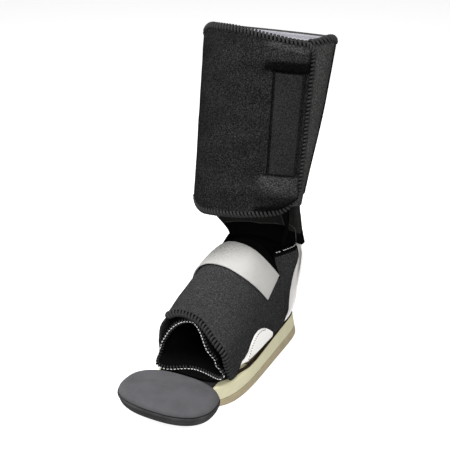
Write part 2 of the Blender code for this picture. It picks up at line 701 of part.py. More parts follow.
def flap_end(y):
    """Angle of the foot flap's free edge."""
    return mix(FLAP_END_TOE_ANGLE, FLAP_END_HEEL_ANGLE, (y - WRAP_FRONT_Y) / (WRAP_HEEL_Y - WRAP_FRONT_Y))


def wrap_panel(first, last):
    """Place function of a wrap panel between two edges given as angles over y."""
    def place(u, v, distance):
        rough = mix(first(0.0), last(0.0), u)
        y = mix(wrap_front(rough), WRAP_HEEL_Y, v)
        return foot_point(mix(first(y), last(y), u), y, distance)
    return place


def build_foot_wrap(flap_pivot):
    """Liner tube, fixed side panels, opening flap and the hook tape under its free edge."""
    def liner(u, v, distance):
        angle = 360.0 * u
        return foot_point(angle, mix(liner_front(angle), WRAP_HEEL_Y, v), distance)

    length = WRAP_HEEL_Y - WRAP_FRONT_Y
    rows = edged(length, 6)
    around = steps(0.0, 1.0, 32)[:-1]
    tube("foot_liner", *layer(liner, around, rows, 0.0, LINER_THICK), "black_lining")

    seam = math.degrees(SEAM / FOOT_HALF)
    girth = math.pi * FOOT_HALF
    hinge_high = FLAP_HINGE_Z + SEAM / 2.0
    hinge_low = FLAP_HINGE_Z - SEAM / 2.0
    flap = wrap_panel(lambda y: angle_at(hinge_high, y, WRAP_IN), flap_end)
    panel("foot_flap_panel", *layer(flap, edged(girth, 16), rows, WRAP_IN, WRAP_OUT),
          "black_loop_fabric", flap_pivot)
    left = wrap_panel(lambda y: -SIDE_FOOT_ANGLE, lambda y: angle_at(hinge_low, y, WRAP_OUT))
    panel("foot_side_left", *layer(left, edged(girth / 4.0, 4), rows, WRAP_IN, WRAP_OUT),
          "black_loop_fabric")
    right = wrap_panel(lambda y: flap_end(y) + seam, lambda y: 180.0 + SIDE_FOOT_ANGLE)

    def thinned(u, v, distance):
        left_over = 1.0 - SIDE_EDGE_THIN * max(0.0, 1.0 - u / SIDE_THIN_SHARE)
        return right(u, v, WRAP_IN + left_over * (distance - WRAP_IN))

    panel("foot_side_right", *layer(thinned, edged(girth / 2.0, 8), rows, WRAP_IN, WRAP_OUT),
          "black_loop_fabric")

    def tape(u, v, distance):
        y = mix(WRAP_FRONT_Y + 2.0 * PANEL_EDGE, WRAP_HEEL_Y - 2.0 * PANEL_EDGE, v)
        return foot_point(flap_end(y) - seam - FLAP_TAPE_SPAN * (1.0 - u), y, distance)

    tape_in = LINER_THICK + SEAT
    panel("foot_flap_hook_tape", *layer(tape, steps(0.0, 1.0, 3), steps(0.0, 1.0, 7), tape_in,
                                        tape_in + TAPE_THICK), "black_hook_tape", flap_pivot, tuck=0.0)


def strap_point(u, v, distance):
    """Point of the instep strap: u from its square-cut end to its far end, v across it."""
    angle = mix(STRAP_END_ANGLE, STRAP_FAR_ANGLE, u) + STRAP_END_SKEW * v * (1.0 - u)
    off = angle - STRAP_TOP_ANGLE
    if off < 0.0:
        sweep = STRAP_END_SWEEP * (off / (STRAP_TOP_ANGLE - STRAP_END_ANGLE)) ** 2
    else:
        sweep = STRAP_FAR_SWEEP * (off / (STRAP_FAR_ANGLE - STRAP_TOP_ANGLE)) ** 2
    return foot_point(angle, STRAP_TOP_Y + sweep + STRAP_HALF * v, distance)


def build_strap(strap_pivot, flap_pivot):
    """Hook strap, the pad that it is sewn to and the hook pad under its far end."""
    girth = math.pi * FOOT_HALF
    panel("instep_strap", *layer(strap_point, edged(girth, 24), steps(-1.0, 1.0, 6), STRAP_IN, STRAP_OUT),
          "strap_webbing", strap_pivot, tuck=THIN_TUCK)
    span = STRAP_HOOK_SPAN / (STRAP_FAR_ANGLE - STRAP_END_ANGLE)
    inset = STRAP_PAD_INSET / girth
    across = steps(-1.0 + STRAP_PAD_INSET / STRAP_HALF, 1.0 - STRAP_PAD_INSET / STRAP_HALF, 4)
    for name, first, body in (("strap_anchor_pad", inset, flap_pivot),
                              ("strap_hook_pad", 1.0 - inset - span, strap_pivot)):
        along = steps(first, first + span, 5)
        grids = layer(strap_point, along, across, STRAP_PAD_IN, STRAP_PAD_IN + TAPE_THICK)
        panel(name, *grids, "black_hook_tape", body, tuck=0.0)


def collar_top(x, y):
    """Height of the heel collar's top edge."""
    front = COLLAR_LEFT_Z if x > 0.0 else COLLAR_RIGHT_Z
    return mix(front, COLLAR_HEEL_Z, min(1.0, (y - COLLAR_FRONT_Y) / (COLLAR_LEVEL_Y - COLLAR_FRONT_Y)))


def collar_heel():
    """Outer face of the collar behind the heel."""
    return heel_y() - SEAT


def bow_height(y):
    """Height of the shell's inner face in the heel bow."""
    past = min(max(0.0, y - (heel_y() - HEEL_BOW)), HEEL_BOW)
    return FOOTPLATE_TOP + HEEL_BOW - math.sqrt(HEEL_BOW ** 2 - past ** 2)


def shell_lip():
    """Rise of the footplate's turned-up edge."""
    turn = max(0.0, FOOTPLATE_HALF - (WING_IN_X - SHELL_BEND)) / SHELL_BEND
    return SHELL_BEND * (1.0 - math.cos(turn))


def collar_plan(u, distance):
    """Plan of the collar: u from the wearer's left front round the heel to the right front."""
    half = FOOT_HALF + WRAP_OUT - COLLAR_THICK + distance
    deep = collar_heel() - COLLAR_CENTRE_Y - COLLAR_THICK + distance
    front = COLLAR_SIDE_SHARE
    if u < front:
        return FOOT_SHIFT_X + half, mix(COLLAR_FRONT_Y, COLLAR_CENTRE_Y, u / front)
    if u > 1.0 - front:
        return FOOT_SHIFT_X - half, mix(COLLAR_FRONT_Y, COLLAR_CENTRE_Y, (1.0 - u) / front)
    turn = math.pi * (u - front) / (1.0 - 2.0 * front)
    power = 2.0 / COLLAR_ROUND
    return (FOOT_SHIFT_X + half * signed_power(math.cos(turn), power),
            COLLAR_CENTRE_Y + deep * signed_power(math.sin(turn), power))


def collar_side(y, z):
    """Half width of the collar: it leans in over the instep and runs back to the shell's edges."""
    high = ease((z - FOOT_CENTRE_Z) / (COLLAR_LEFT_Z - FOOT_CENTRE_Z))
    front = FOOT_HALF + WRAP_OUT - COLLAR_LEAN * high
    bow_top = FOOTPLATE_TOP + HEEL_BOW
    share = (z - bow_top) / (calf_back(0.0, SHELL_IN).z - bow_top)
    rise = (z - FOOTPLATE_TOP) / (COLLAR_HEEL_Z - FOOTPLATE_TOP)
    back = heel_station(min(max(0.0, share), 1.0))[1] + mix(-COLLAR_HEEL_TUCK, COLLAR_HEEL_FLARE, rise)
    return mix(front, back, (y - COLLAR_FRONT_Y) / (collar_heel() - COLLAR_FRONT_Y))


def shell_face(x, z):
    """Inner face of the shell behind the heel, which curves forward to its edges near the cuff."""
    bow_top = FOOTPLATE_TOP + HEEL_BOW
    share = (z - bow_top) / (calf_back(0.0, SHELL_IN).z - bow_top)
    wide = calf_half(0.0) + SHELL_IN
    sag = (calf_depth(0.0) + SHELL_IN) * (1.0 - math.sqrt(1.0 - min(1.0, abs(x) / wide) ** 2))
    return heel_y() + heel_bulge(z) - sag * ease(share)


def build_collar():
    """Padded heel collar that stands in the shell, with its bottom edge clear of the heel bow."""
    def place(u, v, distance):
        x, y = collar_plan(u, distance)
        outer_x, outer_y = collar_plan(u, COLLAR_THICK)
        low = bow_height(outer_y) + shell_lip() + SEAT
        z = mix(low, collar_top(outer_x, outer_y), v)
        half = FOOT_HALF + WRAP_OUT
        wide = (collar_side(outer_y, z) - COLLAR_THICK + distance) / (half - COLLAR_THICK + distance)
        x = FOOT_SHIFT_X + (x - FOOT_SHIFT_X) * wide
        belly = heel_bulge(z) * max(0.0, y - COLLAR_CENTRE_Y) / (collar_heel() - COLLAR_CENTRE_Y)
        behind = shell_face(x, z) - COLLAR_CLEAR - COLLAR_THICK + distance
        return Vector((x, min(y + belly, behind), z))

    side = steps(0.0, COLLAR_SIDE_SHARE, 2)[:-1]
    around = side + steps(COLLAR_SIDE_SHARE, 1.0 - COLLAR_SIDE_SHARE, 22)
    around += [1.0 - share for share in side[::-1]]
    rows = edged(COLLAR_HEEL_Z - FOOTPLATE_TOP, 5)
    panel("heel_collar", *layer(place, around, rows, 0.0, COLLAR_THICK), "black_loop_fabric")


def build_ankle_pad():
    """Pad in front of the upright, in the open gap between the collar and the cuff."""
    def place(u, v, distance):
        reach = mix(ANKLE_PAD_LOW_ANGLE, ANKLE_PAD_HIGH_ANGLE, ease(v))
        turn = math.radians(mix(-reach, reach, u))
        x = ANKLE_PAD_SHIFT_X + (ANKLE_PAD_HALF - ANKLE_PAD_THICK + distance) * math.sin(turn)
        middle = heel_y() - SLEEVE_CLEAR - SLEEVE_THICK - SEAT - ANKLE_PAD_DEPTH
        y = middle + (ANKLE_PAD_DEPTH - ANKLE_PAD_THICK + distance) * math.cos(turn)
        low = max(collar_top(x, y), COLLAR_HEEL_Z) + SEAM
        under = LEG_BASE_Z - (SEAM + (y - LEG_BASE_Y) * LEG_UP.y) / LEG_UP.z
        return Vector((x, y, mix(low, under, v)))

    rows = edged(LEG_BASE_Z - COLLAR_HEEL_Z, 6)
    around = edged(math.pi * ANKLE_PAD_HALF, 18)
    panel("ankle_pad", *layer(place, around, rows, 0.0, ANKLE_PAD_THICK), "black_lining")


def build_sleeve():
    """Fabric sleeve round the upright, from above the collar to below the cuff."""
    bow_top = FOOTPLATE_TOP + HEEL_BOW
    low = (COLLAR_HEEL_Z + SEAM - bow_top) / (calf_back(0.0, SHELL_IN).z - bow_top)

    def ring(share, distance):
        point, reach, normal, trough, height = heel_station(share)
        section = shell_section(reach, normal, trough, height)
        front = [point + across + normal * distance for across in section]
        back = [place - normal * (SHELL_THICK + 2.0 * distance) for place in front]
        for row in (front, back):
            row[0] = row[0] - Vector((distance + SLEEVE_SIDE, 0.0, 0.0))
            row[-1] = row[-1] + Vector((distance + SLEEVE_SIDE, 0.0, 0.0))
        return front + back[::-1]

    def columns(distance):
        return [list(column) for column in zip(*(ring(share, distance) for share in shares))]

    between = [share for share in steps(0.0, 1.0, HEEL_STATIONS) if low + SEAM < share < SLEEVE_END_SHARE]
    shares = [low] + between + [SLEEVE_END_SHARE]
    outside = SLEEVE_CLEAR + SLEEVE_THICK
    tube("upright_sleeve", columns(SLEEVE_CLEAR), columns(outside), "black_lining", tuck=THIN_TUCK)


def back_top(angle):
    """Height of the back panel's top edge, which slopes down to the front of the panel."""
    share = (angle - BACK_START_ANGLE) / (BACK_LEVEL_ANGLE - BACK_START_ANGLE)
    return CUFF_TOP - CUFF_TOP_DROP * (1.0 - ease(share))


def calf_panel(name, first, last, low, top, inside, outside, skin_name):
    """Fixed panel of the calf cuff between two angles, from a height up to the height top(angle)."""
    def place(u, v, distance):
        angle = mix(first, last, u)
        return calf_point(angle, mix(low, top(angle), v), distance)

    count = round(abs(last - first) / CUFF_STEP_ANGLE)
    girth = math.radians(abs(last - first)) * CALF_LOW_HALF
    rows = edged(top(last) - low, 3)
    return panel(name, *layer(place, edged(girth, count), rows, inside, outside), skin_name)


def build_cuff():
    """Lining, inner flap and back panel of the calf cuff, and the pads that hold it to the upright."""
    seam = math.degrees(SEAM / CALF_LOW_DEPTH)
    calf_panel("cuff_lining", INNER_FLAP_END_ANGLE, LINING_END_ANGLE, LINING_LOW, lambda angle: LINING_TOP,
               0.0, LINING_THICK, "grey_lining")
    calf_panel("cuff_inner_flap", INNER_FLAP_END_ANGLE, BACK_START_ANGLE - seam, INNER_FLAP_LOW,
               lambda angle: INNER_FLAP_TOP, CUFF_IN, CUFF_OUT, "black_loop_fabric")
    calf_panel("cuff_back_panel", BACK_START_ANGLE, BACK_END_ANGLE, 0.0, back_top,
               CUFF_IN, CUFF_OUT, "black_loop_fabric")

    def hook_pad(u, v, distance):
        return calf_point(mix(270.0 - HOOK_PAD_ANGLE, 270.0 + HOOK_PAD_ANGLE, u), v, distance)

    top_pad = UPRIGHT_LENGTH - HOOK_PAD_END - HOOK_PAD_LENGTH
    for name, low in (("upright_hook_pad_low", HOOK_PAD_END), ("upright_hook_pad_high", top_pad)):
        count = round(2.0 * HOOK_PAD_ANGLE / CUFF_STEP_ANGLE)
        grids = layer(hook_pad, steps(0.0, 1.0, count), steps(low, low + HOOK_PAD_LENGTH, 2),
                      CUFF_PAD_IN, CUFF_PAD_IN + TAPE_THICK)
        panel(name, *grids, "black_hook_tape", tuck=0.0)


def flap_width():
    """Rough width of the calf flap round the leg, for its corners and edge rows."""
    return math.radians(CUFF_FLAP_FREE_ANGLE) * ((CALF_LOW_HALF + CALF_LOW_DEPTH) / 2.0 + CUFF_FLAP_OUT)


def corner_drop(radius, distance):
    """How much a rounded corner takes off an edge at a distance from the corner's side."""
    left = min(max(0.0, radius - distance), radius)
    return radius - math.sqrt(radius ** 2 - left ** 2)


def flap_height(u, v):
    """Height along the leg on the calf flap: v runs 0 to 1 below, 1 to 2 on and 2 to 3 above the strip."""
    inset = (1.0 - u) * flap_width()
    low = CUFF_FLAP_LOW + CUFF_FLAP_LOW_RISE * u ** 2 + corner_drop(CUFF_FLAP_LOW_CORNER, inset)
    fall = CUFF_FLAP_TOP_DROP * ease((u - CUFF_FLAP_DROP_START) / CUFF_FLAP_DROP_SPAN)
    high = CUFF_FLAP_TOP - fall - corner_drop(CUFF_FLAP_TOP_CORNER, inset)
    if v < 1.0:
        return mix(low, STRIP_LOW, v)
    if v > 2.0:
        return mix(STRIP_HIGH, high, v - 2.0)
    return mix(STRIP_LOW, STRIP_HIGH, v - 1.0)


def flap_point(u, v, distance):
    """Point of the calf flap, u from its fold to its free edge."""
    height = flap_height(u, v)
    return calf_point(u * (CUFF_FLAP_FREE_ANGLE - CUFF_FLAP_FREE_SLANT * height), height, distance)


def build_cuff_flap(cuff_pivot):
    """Opening front flap of the calf cuff, the strip set into it and the hook tape under it."""
    width = flap_width()
    edge = PANEL_EDGE / width
    step = 2.0 * STRIP_RECESS / width / 3.0
    us = [0.0] + steps(edge, STRIP_START - step, 10) + steps(STRIP_START, STRIP_END, 4)
    us += steps(STRIP_END + step, 1.0 - edge, 2) + [1.0]
    rise = STRIP_RECESS / (STRIP_HIGH - STRIP_LOW)
    below = [0.0] + steps(FLAP_EDGE_SHARE, 1.0 - FLAP_LEDGE_SHARE, 2)
    vs = below + steps(1.0 + rise, 2.0 - rise, 5) + [3.0 - v for v in below[::-1]]

    def outer(u, v):
        inside = STRIP_START <= u <= STRIP_END and 1.0 <= v <= 2.0
        return flap_point(u, v, CUFF_FLAP_OUT - (STRIP_RECESS if inside else 0.0))

    inner = [[flap_point(u, v, CUFF_FLAP_IN) for v in vs] for u in us]
    panel("cuff_flap_panel", inner, [[outer(u, v) for v in vs] for u in us], "black_loop_fabric", cuff_pivot)

    floor = CUFF_FLAP_OUT - STRIP_RECESS + SEAT
    inset = 2.0 * SEAM / width
    strip_us = steps(STRIP_START + inset, STRIP_END - inset, 4)
    strip_vs = steps(1.0 + 2.0 * rise, 2.0 - 2.0 * rise, 4)
    panel("cuff_closure_strip", *layer(flap_point, strip_us, strip_vs, floor, floor + STRIP_THICK),
          "black_loop_fabric", cuff_pivot, tuck=THIN_TUCK)

    def tape(u, v, distance):
        return calf_point(mix(CUFF_TAPE_START, CUFF_TAPE_END, u), mix(STRIP_LOW, STRIP_HIGH, v), distance)

    count = round((CUFF_TAPE_END - CUFF_TAPE_START) / CUFF_STEP_ANGLE)
    panel("cuff_flap_hook_tape", *layer(tape, steps(0.0, 1.0, count), steps(0.0, 1.0, 4), CUFF_PAD_IN,
                                        CUFF_PAD_IN + TAPE_THICK), "black_hook_tape", cuff_pivot, tuck=0.0)


def toe_outline(share, rear=None):
    """Plan of the toe pad at a share of its size, cut straight at a rear limit."""
    points = []
    for k in range(PAD_SIDES):
        turn = 2.0 * math.pi * (k + 0.5) / PAD_SIDES
        x = TOE_PAD_HALF * share * signed_power(math.cos(turn), 2.0 / TOE_PAD_ROUND)
        y = TOE_PAD_Y + TOE_PAD_HALF_LENGTH * share * signed_power(math.sin(turn), 2.0 / TOE_PAD_ROUND)
        points.append((x, y if rear is None else min(y, rear - (1.0 - share) * TOE_PAD_HALF_LENGTH)))
    return points


def cushion(name, rings, skin_name, parent, rear=None):
    """Crowned pad from rings of (share of the plan, height), closed by a flat face at both ends."""
    bm = bmesh.new()
    loops = []
    for share, height in rings:
        loops.append([bm.verts.new((x, y, height)) for x, y in toe_outline(share, rear)])
    for first, second in zip(loops, loops[1:]):
        join_rings(bm, first, second)
    bm.faces.new(loops[0])
    bm.faces.new(loops[-1])
    return add(name, bm, skin_name, parent)


def pad_rings(seam, end, flat, count):
    """Rings of a toe pad cover, drawn in at its seam and rounded over to a flat end."""
    rings = [(TOE_PAD_SEAM_SHARE, seam)]
    for angle in steps(TOE_PAD_FIRST_TURN, 90.0, count):
        turn = math.radians(angle)
        rings.append((mix(flat, 1.0, math.sqrt(max(0.0, math.cos(turn)))), mix(seam, end, math.sin(turn))))
    return rings


def slot_cutter(name, x, low, high):
    """Cutter for a slot in the toe plate, long enough for the travel."""
    radius = SCREW_RADIUS + SCREW_CLEAR
    bm = bmesh.new()
    angles = steps(0.0, math.pi, TURN_SIDES // 2)
    plan = [(x + radius * math.cos(a), SCREW_Y + TOE_TRAVEL + radius * math.sin(a)) for a in angles]
    plan += [(x - radius * math.cos(a), SCREW_Y - radius * math.sin(a)) for a in angles]
    rings = [[bm.verts.new((px, py, height)) for px, py in plan] for height in (low, high)]
    join_rings(bm, *rings)
    for ring in rings:
        bm.faces.new(ring)
    return add(name, bm, "grey_plate")


def build_toe_plate(toe_pivot):
    """Slotted plate with its tongue, the padded covers above and below it, and its screws and nuts."""
    top = TOE_PLATE_LOW + TOE_PLATE_THICK
    bm = bmesh.new()
    plan = toe_outline(TOE_PLATE_SHARE)
    head = [point for point in plan if point[1] < TOE_PAD_Y or abs(point[0]) > TONGUE_HALF]
    start = next(k for k, point in enumerate(head) if point[0] < 0.0 and point[1] > TOE_PAD_Y)
    head = head[start:] + head[:start]
    plan = head + [(TONGUE_HALF, TONGUE_END_Y), (-TONGUE_HALF, TONGUE_END_Y)]
    rings = [[bm.verts.new((x, y, height)) for x, y in plan] for height in (TOE_PLATE_LOW, top)]
    join_rings(bm, *rings)
    for ring in rings:
        bm.faces.new(ring)
    plate = add("toe_plate", bm, "grey_plate", toe_pivot)
    cut(plate, [slot_cutter(f"slot_{side}", x, TOE_PLATE_LOW - TOE_PLATE_THICK, top + TOE_PLATE_THICK)
                for side, x in (("left", SCREW_X), ("right", -SCREW_X))])

    low = top + SEAT
    upper = pad_rings(low, low + TOE_PAD_CROWN, TOE_PAD_TOP_SHARE, 4)
    cushion("toe_pad_top", upper, "grey_upholstery", toe_pivot)
    high = TOE_PLATE_LOW - SEAT
    lower = pad_rings(high, high - TOE_PAD_BELOW, TOE_PAD_BASE_SHARE, 3)
    cushion("toe_pad_under", lower, "dark_upholstery", toe_pivot, SOLE_TOE_Y - TOE_PAD_SOLE_GAP)

    head_top = FOOTPLATE_TOP - SEAT
    neck = head_top - SCREW_HEAD_HIGH
    tip = SOLE_TOP - SCREW_POKE
    bore = SCREW_RADIUS + SCREW_CLEAR
    foot = SOLE_TOP - NUT_HIGH
    screw = [(0.0, tip), (SCREW_RADIUS, tip), (SCREW_RADIUS, neck)]
    screw += [(SCREW_HEAD_RADIUS, head_top), (0.0, head_top)]
    nut = [(bore, foot), (NUT_RADIUS, foot), (NUT_RADIUS, SOLE_TOP), (bore, SOLE_TOP)]
    for side, place in screw_places():
        turned(f"toe_screw_{side}", place, screw, "zinc_steel")
        turned(f"toe_nut_{side}", place, nut, "zinc_steel")


def main():
    """Build the whole orthosis."""
    clear_scene()
    cuff_pivot = pivot("cuff_flap_hinge", calf_point(0.0, 0.0, CUFF_FLAP_OUT))
    flap_x = FOOT_SHIFT_X + FOOT_HALF + WRAP_OUT
    flap_pivot = pivot("foot_flap_hinge", Vector((flap_x, (WRAP_FRONT_Y + WRAP_HEEL_Y) / 2.0, FLAP_HINGE_Z)))
    strap_pivot = pivot("strap_hinge", strap_point(0.0, 0.0, STRAP_IN), flap_pivot)
    toe_pivot = pivot("toe_plate_slide", Vector((0.0, SCREW_Y, TOE_PLATE_LOW)))
    build_sole()
    build_shell()
    build_foot_wrap(flap_pivot)
    build_strap(strap_pivot, flap_pivot)
    build_collar()
    build_ankle_pad()
    build_sleeve()
    build_cuff()
    build_cuff_flap(cuff_pivot)
    build_toe_plate(toe_pivot)


main()
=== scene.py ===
"""Looks of an ankle foot orthosis: padded calf cuff and foot wrap on a white plastic shell.

Every padded panel is a closed, crowned form sewn round with a thread edging. The panels lie where the
frame's solids lie: round the calf, angles count from -X over the front and heights run along the leaning
leg, and round the foot, angles count from +X over the instep and y runs from toe to heel. A place function
gives points of a panel from shares u and v of its two lengths and a distance out. Unless it says otherwise,
u runs round the leg or the foot, and v upwards on the leg and from toe to heel on the foot.
"""

import math

import bmesh
import bpy
import numpy as np
from bpy.props import FloatProperty, FloatVectorProperty, PointerProperty
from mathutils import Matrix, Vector


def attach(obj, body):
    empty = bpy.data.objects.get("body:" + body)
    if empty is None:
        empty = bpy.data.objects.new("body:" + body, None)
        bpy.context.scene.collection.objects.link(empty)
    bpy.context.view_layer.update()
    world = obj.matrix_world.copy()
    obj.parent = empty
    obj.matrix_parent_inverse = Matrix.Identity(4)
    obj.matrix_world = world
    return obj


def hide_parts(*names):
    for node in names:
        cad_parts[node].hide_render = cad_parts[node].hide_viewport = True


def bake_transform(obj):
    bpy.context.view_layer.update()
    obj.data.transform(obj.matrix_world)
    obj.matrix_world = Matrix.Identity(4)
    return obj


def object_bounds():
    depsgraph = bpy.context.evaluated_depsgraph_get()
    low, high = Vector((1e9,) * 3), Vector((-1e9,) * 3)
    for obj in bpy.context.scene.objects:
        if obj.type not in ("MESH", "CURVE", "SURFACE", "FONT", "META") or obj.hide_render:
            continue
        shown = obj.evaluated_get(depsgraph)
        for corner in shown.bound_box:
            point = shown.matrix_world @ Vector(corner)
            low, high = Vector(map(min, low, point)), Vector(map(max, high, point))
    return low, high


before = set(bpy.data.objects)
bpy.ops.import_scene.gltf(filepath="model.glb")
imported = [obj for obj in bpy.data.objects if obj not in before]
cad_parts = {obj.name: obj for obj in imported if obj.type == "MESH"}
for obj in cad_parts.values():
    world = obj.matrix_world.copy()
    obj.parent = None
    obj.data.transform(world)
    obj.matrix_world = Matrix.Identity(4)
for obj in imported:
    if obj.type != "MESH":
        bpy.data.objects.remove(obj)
CAD_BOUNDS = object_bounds()

bl_info = {
    "name": "Ankle Foot Orthosis",
    "version": (1, 0, 0),
    "blender": (4, 5, 0),
    "location": "3D View > Sidebar > Orthosis",
    "description": "Dresses the packed orthosis in padded fabric, thread edgings, plastic and sole finishes",
    "category": "Object",
}

QUARTER_TURN = math.pi / 2.0

# Leg space and the layers of the calf cuff, as distances out from it
LEG_BASE = np.array((0.0, 0.063, 0.190))
LEG_LEAN = math.radians(11.6)
LEG_UP = np.array((0.0, math.sin(LEG_LEAN), math.cos(LEG_LEAN)))
LEG_BACK = np.array((0.0, math.cos(LEG_LEAN), -math.sin(LEG_LEAN)))
CALF_SPAN = 0.183
CALF_HALF = (0.0555, 0.0645)     # at the cuff's lower end and at its top, like the next two
CALF_DEPTH = (0.029, 0.033)
CALF_SHIFT_X = (0.0005, 0.004)
CALF_SHIFT_BACK = 0.004
LINING_LAYER = (0.0, 0.0031)
CUFF_LAYER = (0.0035, 0.0095)
FLAP_LAYER = (0.0112, 0.0172)

# Foot space and the layers of the foot wrap, as distances out from it
FOOT_HALF = 0.0385
FOOT_SHIFT_X = -0.002
FOOT_CENTRE_Z = 0.058
FOOT_FLOOR = 0.0187
INSTEP_Z = 0.138
INSTEP_Y = 0.035
INSTEP_FALL = 0.054
INSTEP_LENGTH = 0.125
INSTEP_CURVE = 1.55
UPPER_ROUND = 2.2
LOWER_ROUND = 3.5
LINER_LAYER = (0.0, 0.004)
WRAP_LAYER = (0.0057, 0.0100)
STRAP_LAYER = (0.0117, 0.0133)
WRAP_HEEL_Y = 0.060


def mix(a, b, share):
    """Value at a share of the way from a to b."""
    return a + (b - a) * share


def ease(share):
    """Smooth step of a share that is held between 0 and 1."""
    share = np.clip(share, 0.0, 1.0)
    return share * share * (3.0 - 2.0 * share)


def signed_power(value, power):
    """Power of a number's size, with its sign kept."""
    return np.sign(value) * np.abs(value) ** power


def stack(*parts):
    """Points or pairs from their coordinates, which may be arrays or single numbers."""
    return np.stack(np.broadcast_arrays(*parts), -1)


def unit(vectors):
    """Vectors made one long."""
    return vectors / np.linalg.norm(vectors, axis=-1, keepdims=True)


def run_along(path):
    """Distance of each point of a path from its start."""
    steps = np.linalg.norm(np.diff(path, axis=0), axis=1)
    return np.concatenate(((0.0,), np.cumsum(steps)))


def calf_point(angle, height, out):
    """Points round the calf at angles in degrees, heights along the leg and distances out."""
    angle, height, out = np.broadcast_arrays(angle, height, out)
    turn = np.radians(angle)
    share = height / CALF_SPAN
    x = mix(*CALF_SHIFT_X, share) - (mix(*CALF_HALF, share) + out) * np.cos(turn)
    back = CALF_SHIFT_BACK - (mix(*CALF_DEPTH, share) + out) * np.sin(turn)
    return LEG_BASE + stack(x, 0.0, 0.0) + back[..., None] * LEG_BACK + height[..., None] * LEG_UP


def wrap_top(y):
    """Height of the closed foot wrap along its middle."""
    back = np.maximum(0.0, (INSTEP_Y - y) / INSTEP_LENGTH)
    return INSTEP_Z - INSTEP_FALL * back ** INSTEP_CURVE


def foot_point(angle, y, out):
    """Points round the foot at angles in degrees, stations along it and distances out."""
    angle, y, out = np.broadcast_arrays(angle, y, out)
    turn = np.radians(angle)
    sine = np.sin(turn)
    upper = sine >= 0.0
    power = np.where(upper, 2.0 / UPPER_ROUND, 2.0 / LOWER_ROUND)
    reach = np.where(upper, wrap_top(y) - WRAP_LAYER[1] - FOOT_CENTRE_Z, FOOT_FLOOR)
    x = FOOT_SHIFT_X + (FOOT_HALF + out) * signed_power(np.cos(turn), power)
    return stack(x, y, FOOT_CENTRE_Z + (reach + out) * signed_power(sine, power))


# Meshes

RIM_STEPS = 5                # rows of faces over a rounded rim
SEWN_RIM = 0.002             # narrower rims take no finish of their own
SWELL_LENGTH = 0.045         # of the gentle waves in padding
CROWN_POWER = 0.6
OFF_AXIS = (0.31, 0.52, 0.8)  # for the cross section of a straight thread


def link(name, data):
    """New object in the scene."""
    obj = bpy.data.objects.new(name, data)
    bpy.context.scene.collection.objects.link(obj)
    return obj


def shade_smooth(mesh):
    """Smooth shading of every face."""
    mesh.polygons.foreach_set("use_smooth", [True] * len(mesh.polygons))


def mesh_object(name, points, faces, finishes, kinds=None):
    """Smooth object from points and faces, with its normals turned outwards.

    finishes holds the names of its finishes, and kinds the number of each face's finish if it has several.
    """
    mesh = bpy.data.meshes.new(name)
    mesh.from_pydata(points.reshape(-1, 3).tolist(), [], faces)
    bm = bmesh.new()
    bm.from_mesh(mesh)
    bmesh.ops.recalc_face_normals(bm, faces=bm.faces)
    bm.to_mesh(mesh)
    bm.free()
    shade_smooth(mesh)
    for title in finishes:
        mesh.materials.append(finish(title))
    if kinds is not None:
        mesh.polygons.foreach_set("material_index", kinds)
    return link(name, mesh)


def grid_numbers(columns, rows):
    """Numbers of the points of a grid."""
    return np.arange(columns * rows).reshape(columns, rows)


def quads(index, wrap):
    """Quads of a grid of point numbers, joined round its first direction if it wraps."""
    if wrap:
        index = np.concatenate((index, index[:1]))
    return stack(index[:-1, :-1], index[1:, :-1], index[1:, 1:], index[:-1, 1:]).reshape(-1, 4)


def slab(name, outer, inner, finishes, wrap, sewn):
    """Closed panel from its outer and inner grid, which share the points of their edges.

    Its finishes are those of the face, of the rim under an edging, of the outermost edge and of the back.
    """
    columns, rows = outer.shape[:2]
    first = grid_numbers(columns, rows)
    second = first.copy()
    middle = (slice(None) if wrap else slice(1, -1), slice(1, -1))
    second[middle] = columns * rows + grid_numbers(*second[middle].shape)
    points = np.concatenate((outer.reshape(-1, 3), inner[middle].reshape(-1, 3)))
    faces = np.concatenate((quads(first, wrap), quads(second, wrap)[:, ::-1])).tolist()
    if len(finishes) == 1:
        return mesh_object(name, points, faces, finishes)
    across, along = np.arange(columns - 1), np.arange(rows - 1)
    far = np.full((columns - 1, rows - 1), RIM_STEPS)
    sides = (across[:, None], across[::-1, None], along[None], along[::-1][None])
    for side, chosen in zip(sides, sewn):
        if chosen:
            far = np.minimum(far, side)
    kinds = np.where(far == 0, 2, np.where(far < RIM_STEPS, 1, 0))
    return mesh_object(name, points, faces, finishes, kinds.ravel().tolist() + [3] * kinds.size)


def rimmed(length, rims, step):
    """Shares from 0 to 1 along a length, set close together inside the rounded rims at both ends."""
    turn = np.linspace(0.0, QUARTER_TURN, RIM_STEPS + 1)
    low, high = ((rim * (1.0 - np.cos(turn)) / length) for rim in rims)
    count = max(2, round((length - sum(rims)) / step))
    body = np.linspace(low[-1], 1.0 - high[-1], count + 1)[1:-1]
    return np.concatenate((low, body, 1.0 - high[::-1]))


def rim_share(share, length, rims):
    """Share of the full thickness at a share of a length, rounded off over the rims at both ends."""
    parts = share * length / rims[0], (1.0 - share) * length / rims[1]
    low, high = (np.sqrt(np.maximum(0.0, 1.0 - np.maximum(0.0, 1.0 - part) ** 2)) for part in parts)
    return low * high


def ripple(a, b, size, seed, waves=7):
    """Gentle uneven swelling over a surface with lengths a and b in metres, between about -1 and 1."""
    draw = np.random.RandomState(seed)
    total = np.zeros(np.broadcast(a, b).shape)
    for _ in range(waves):
        heading = draw.uniform(0.0, math.pi)
        length = size * draw.uniform(0.6, 1.6)
        phase = draw.uniform(0.0, 2.0 * math.pi)
        along = a * math.cos(heading) + b * math.sin(heading)
        total = total + np.sin(2.0 * math.pi * along / length + phase)
    return total / math.sqrt(waves)


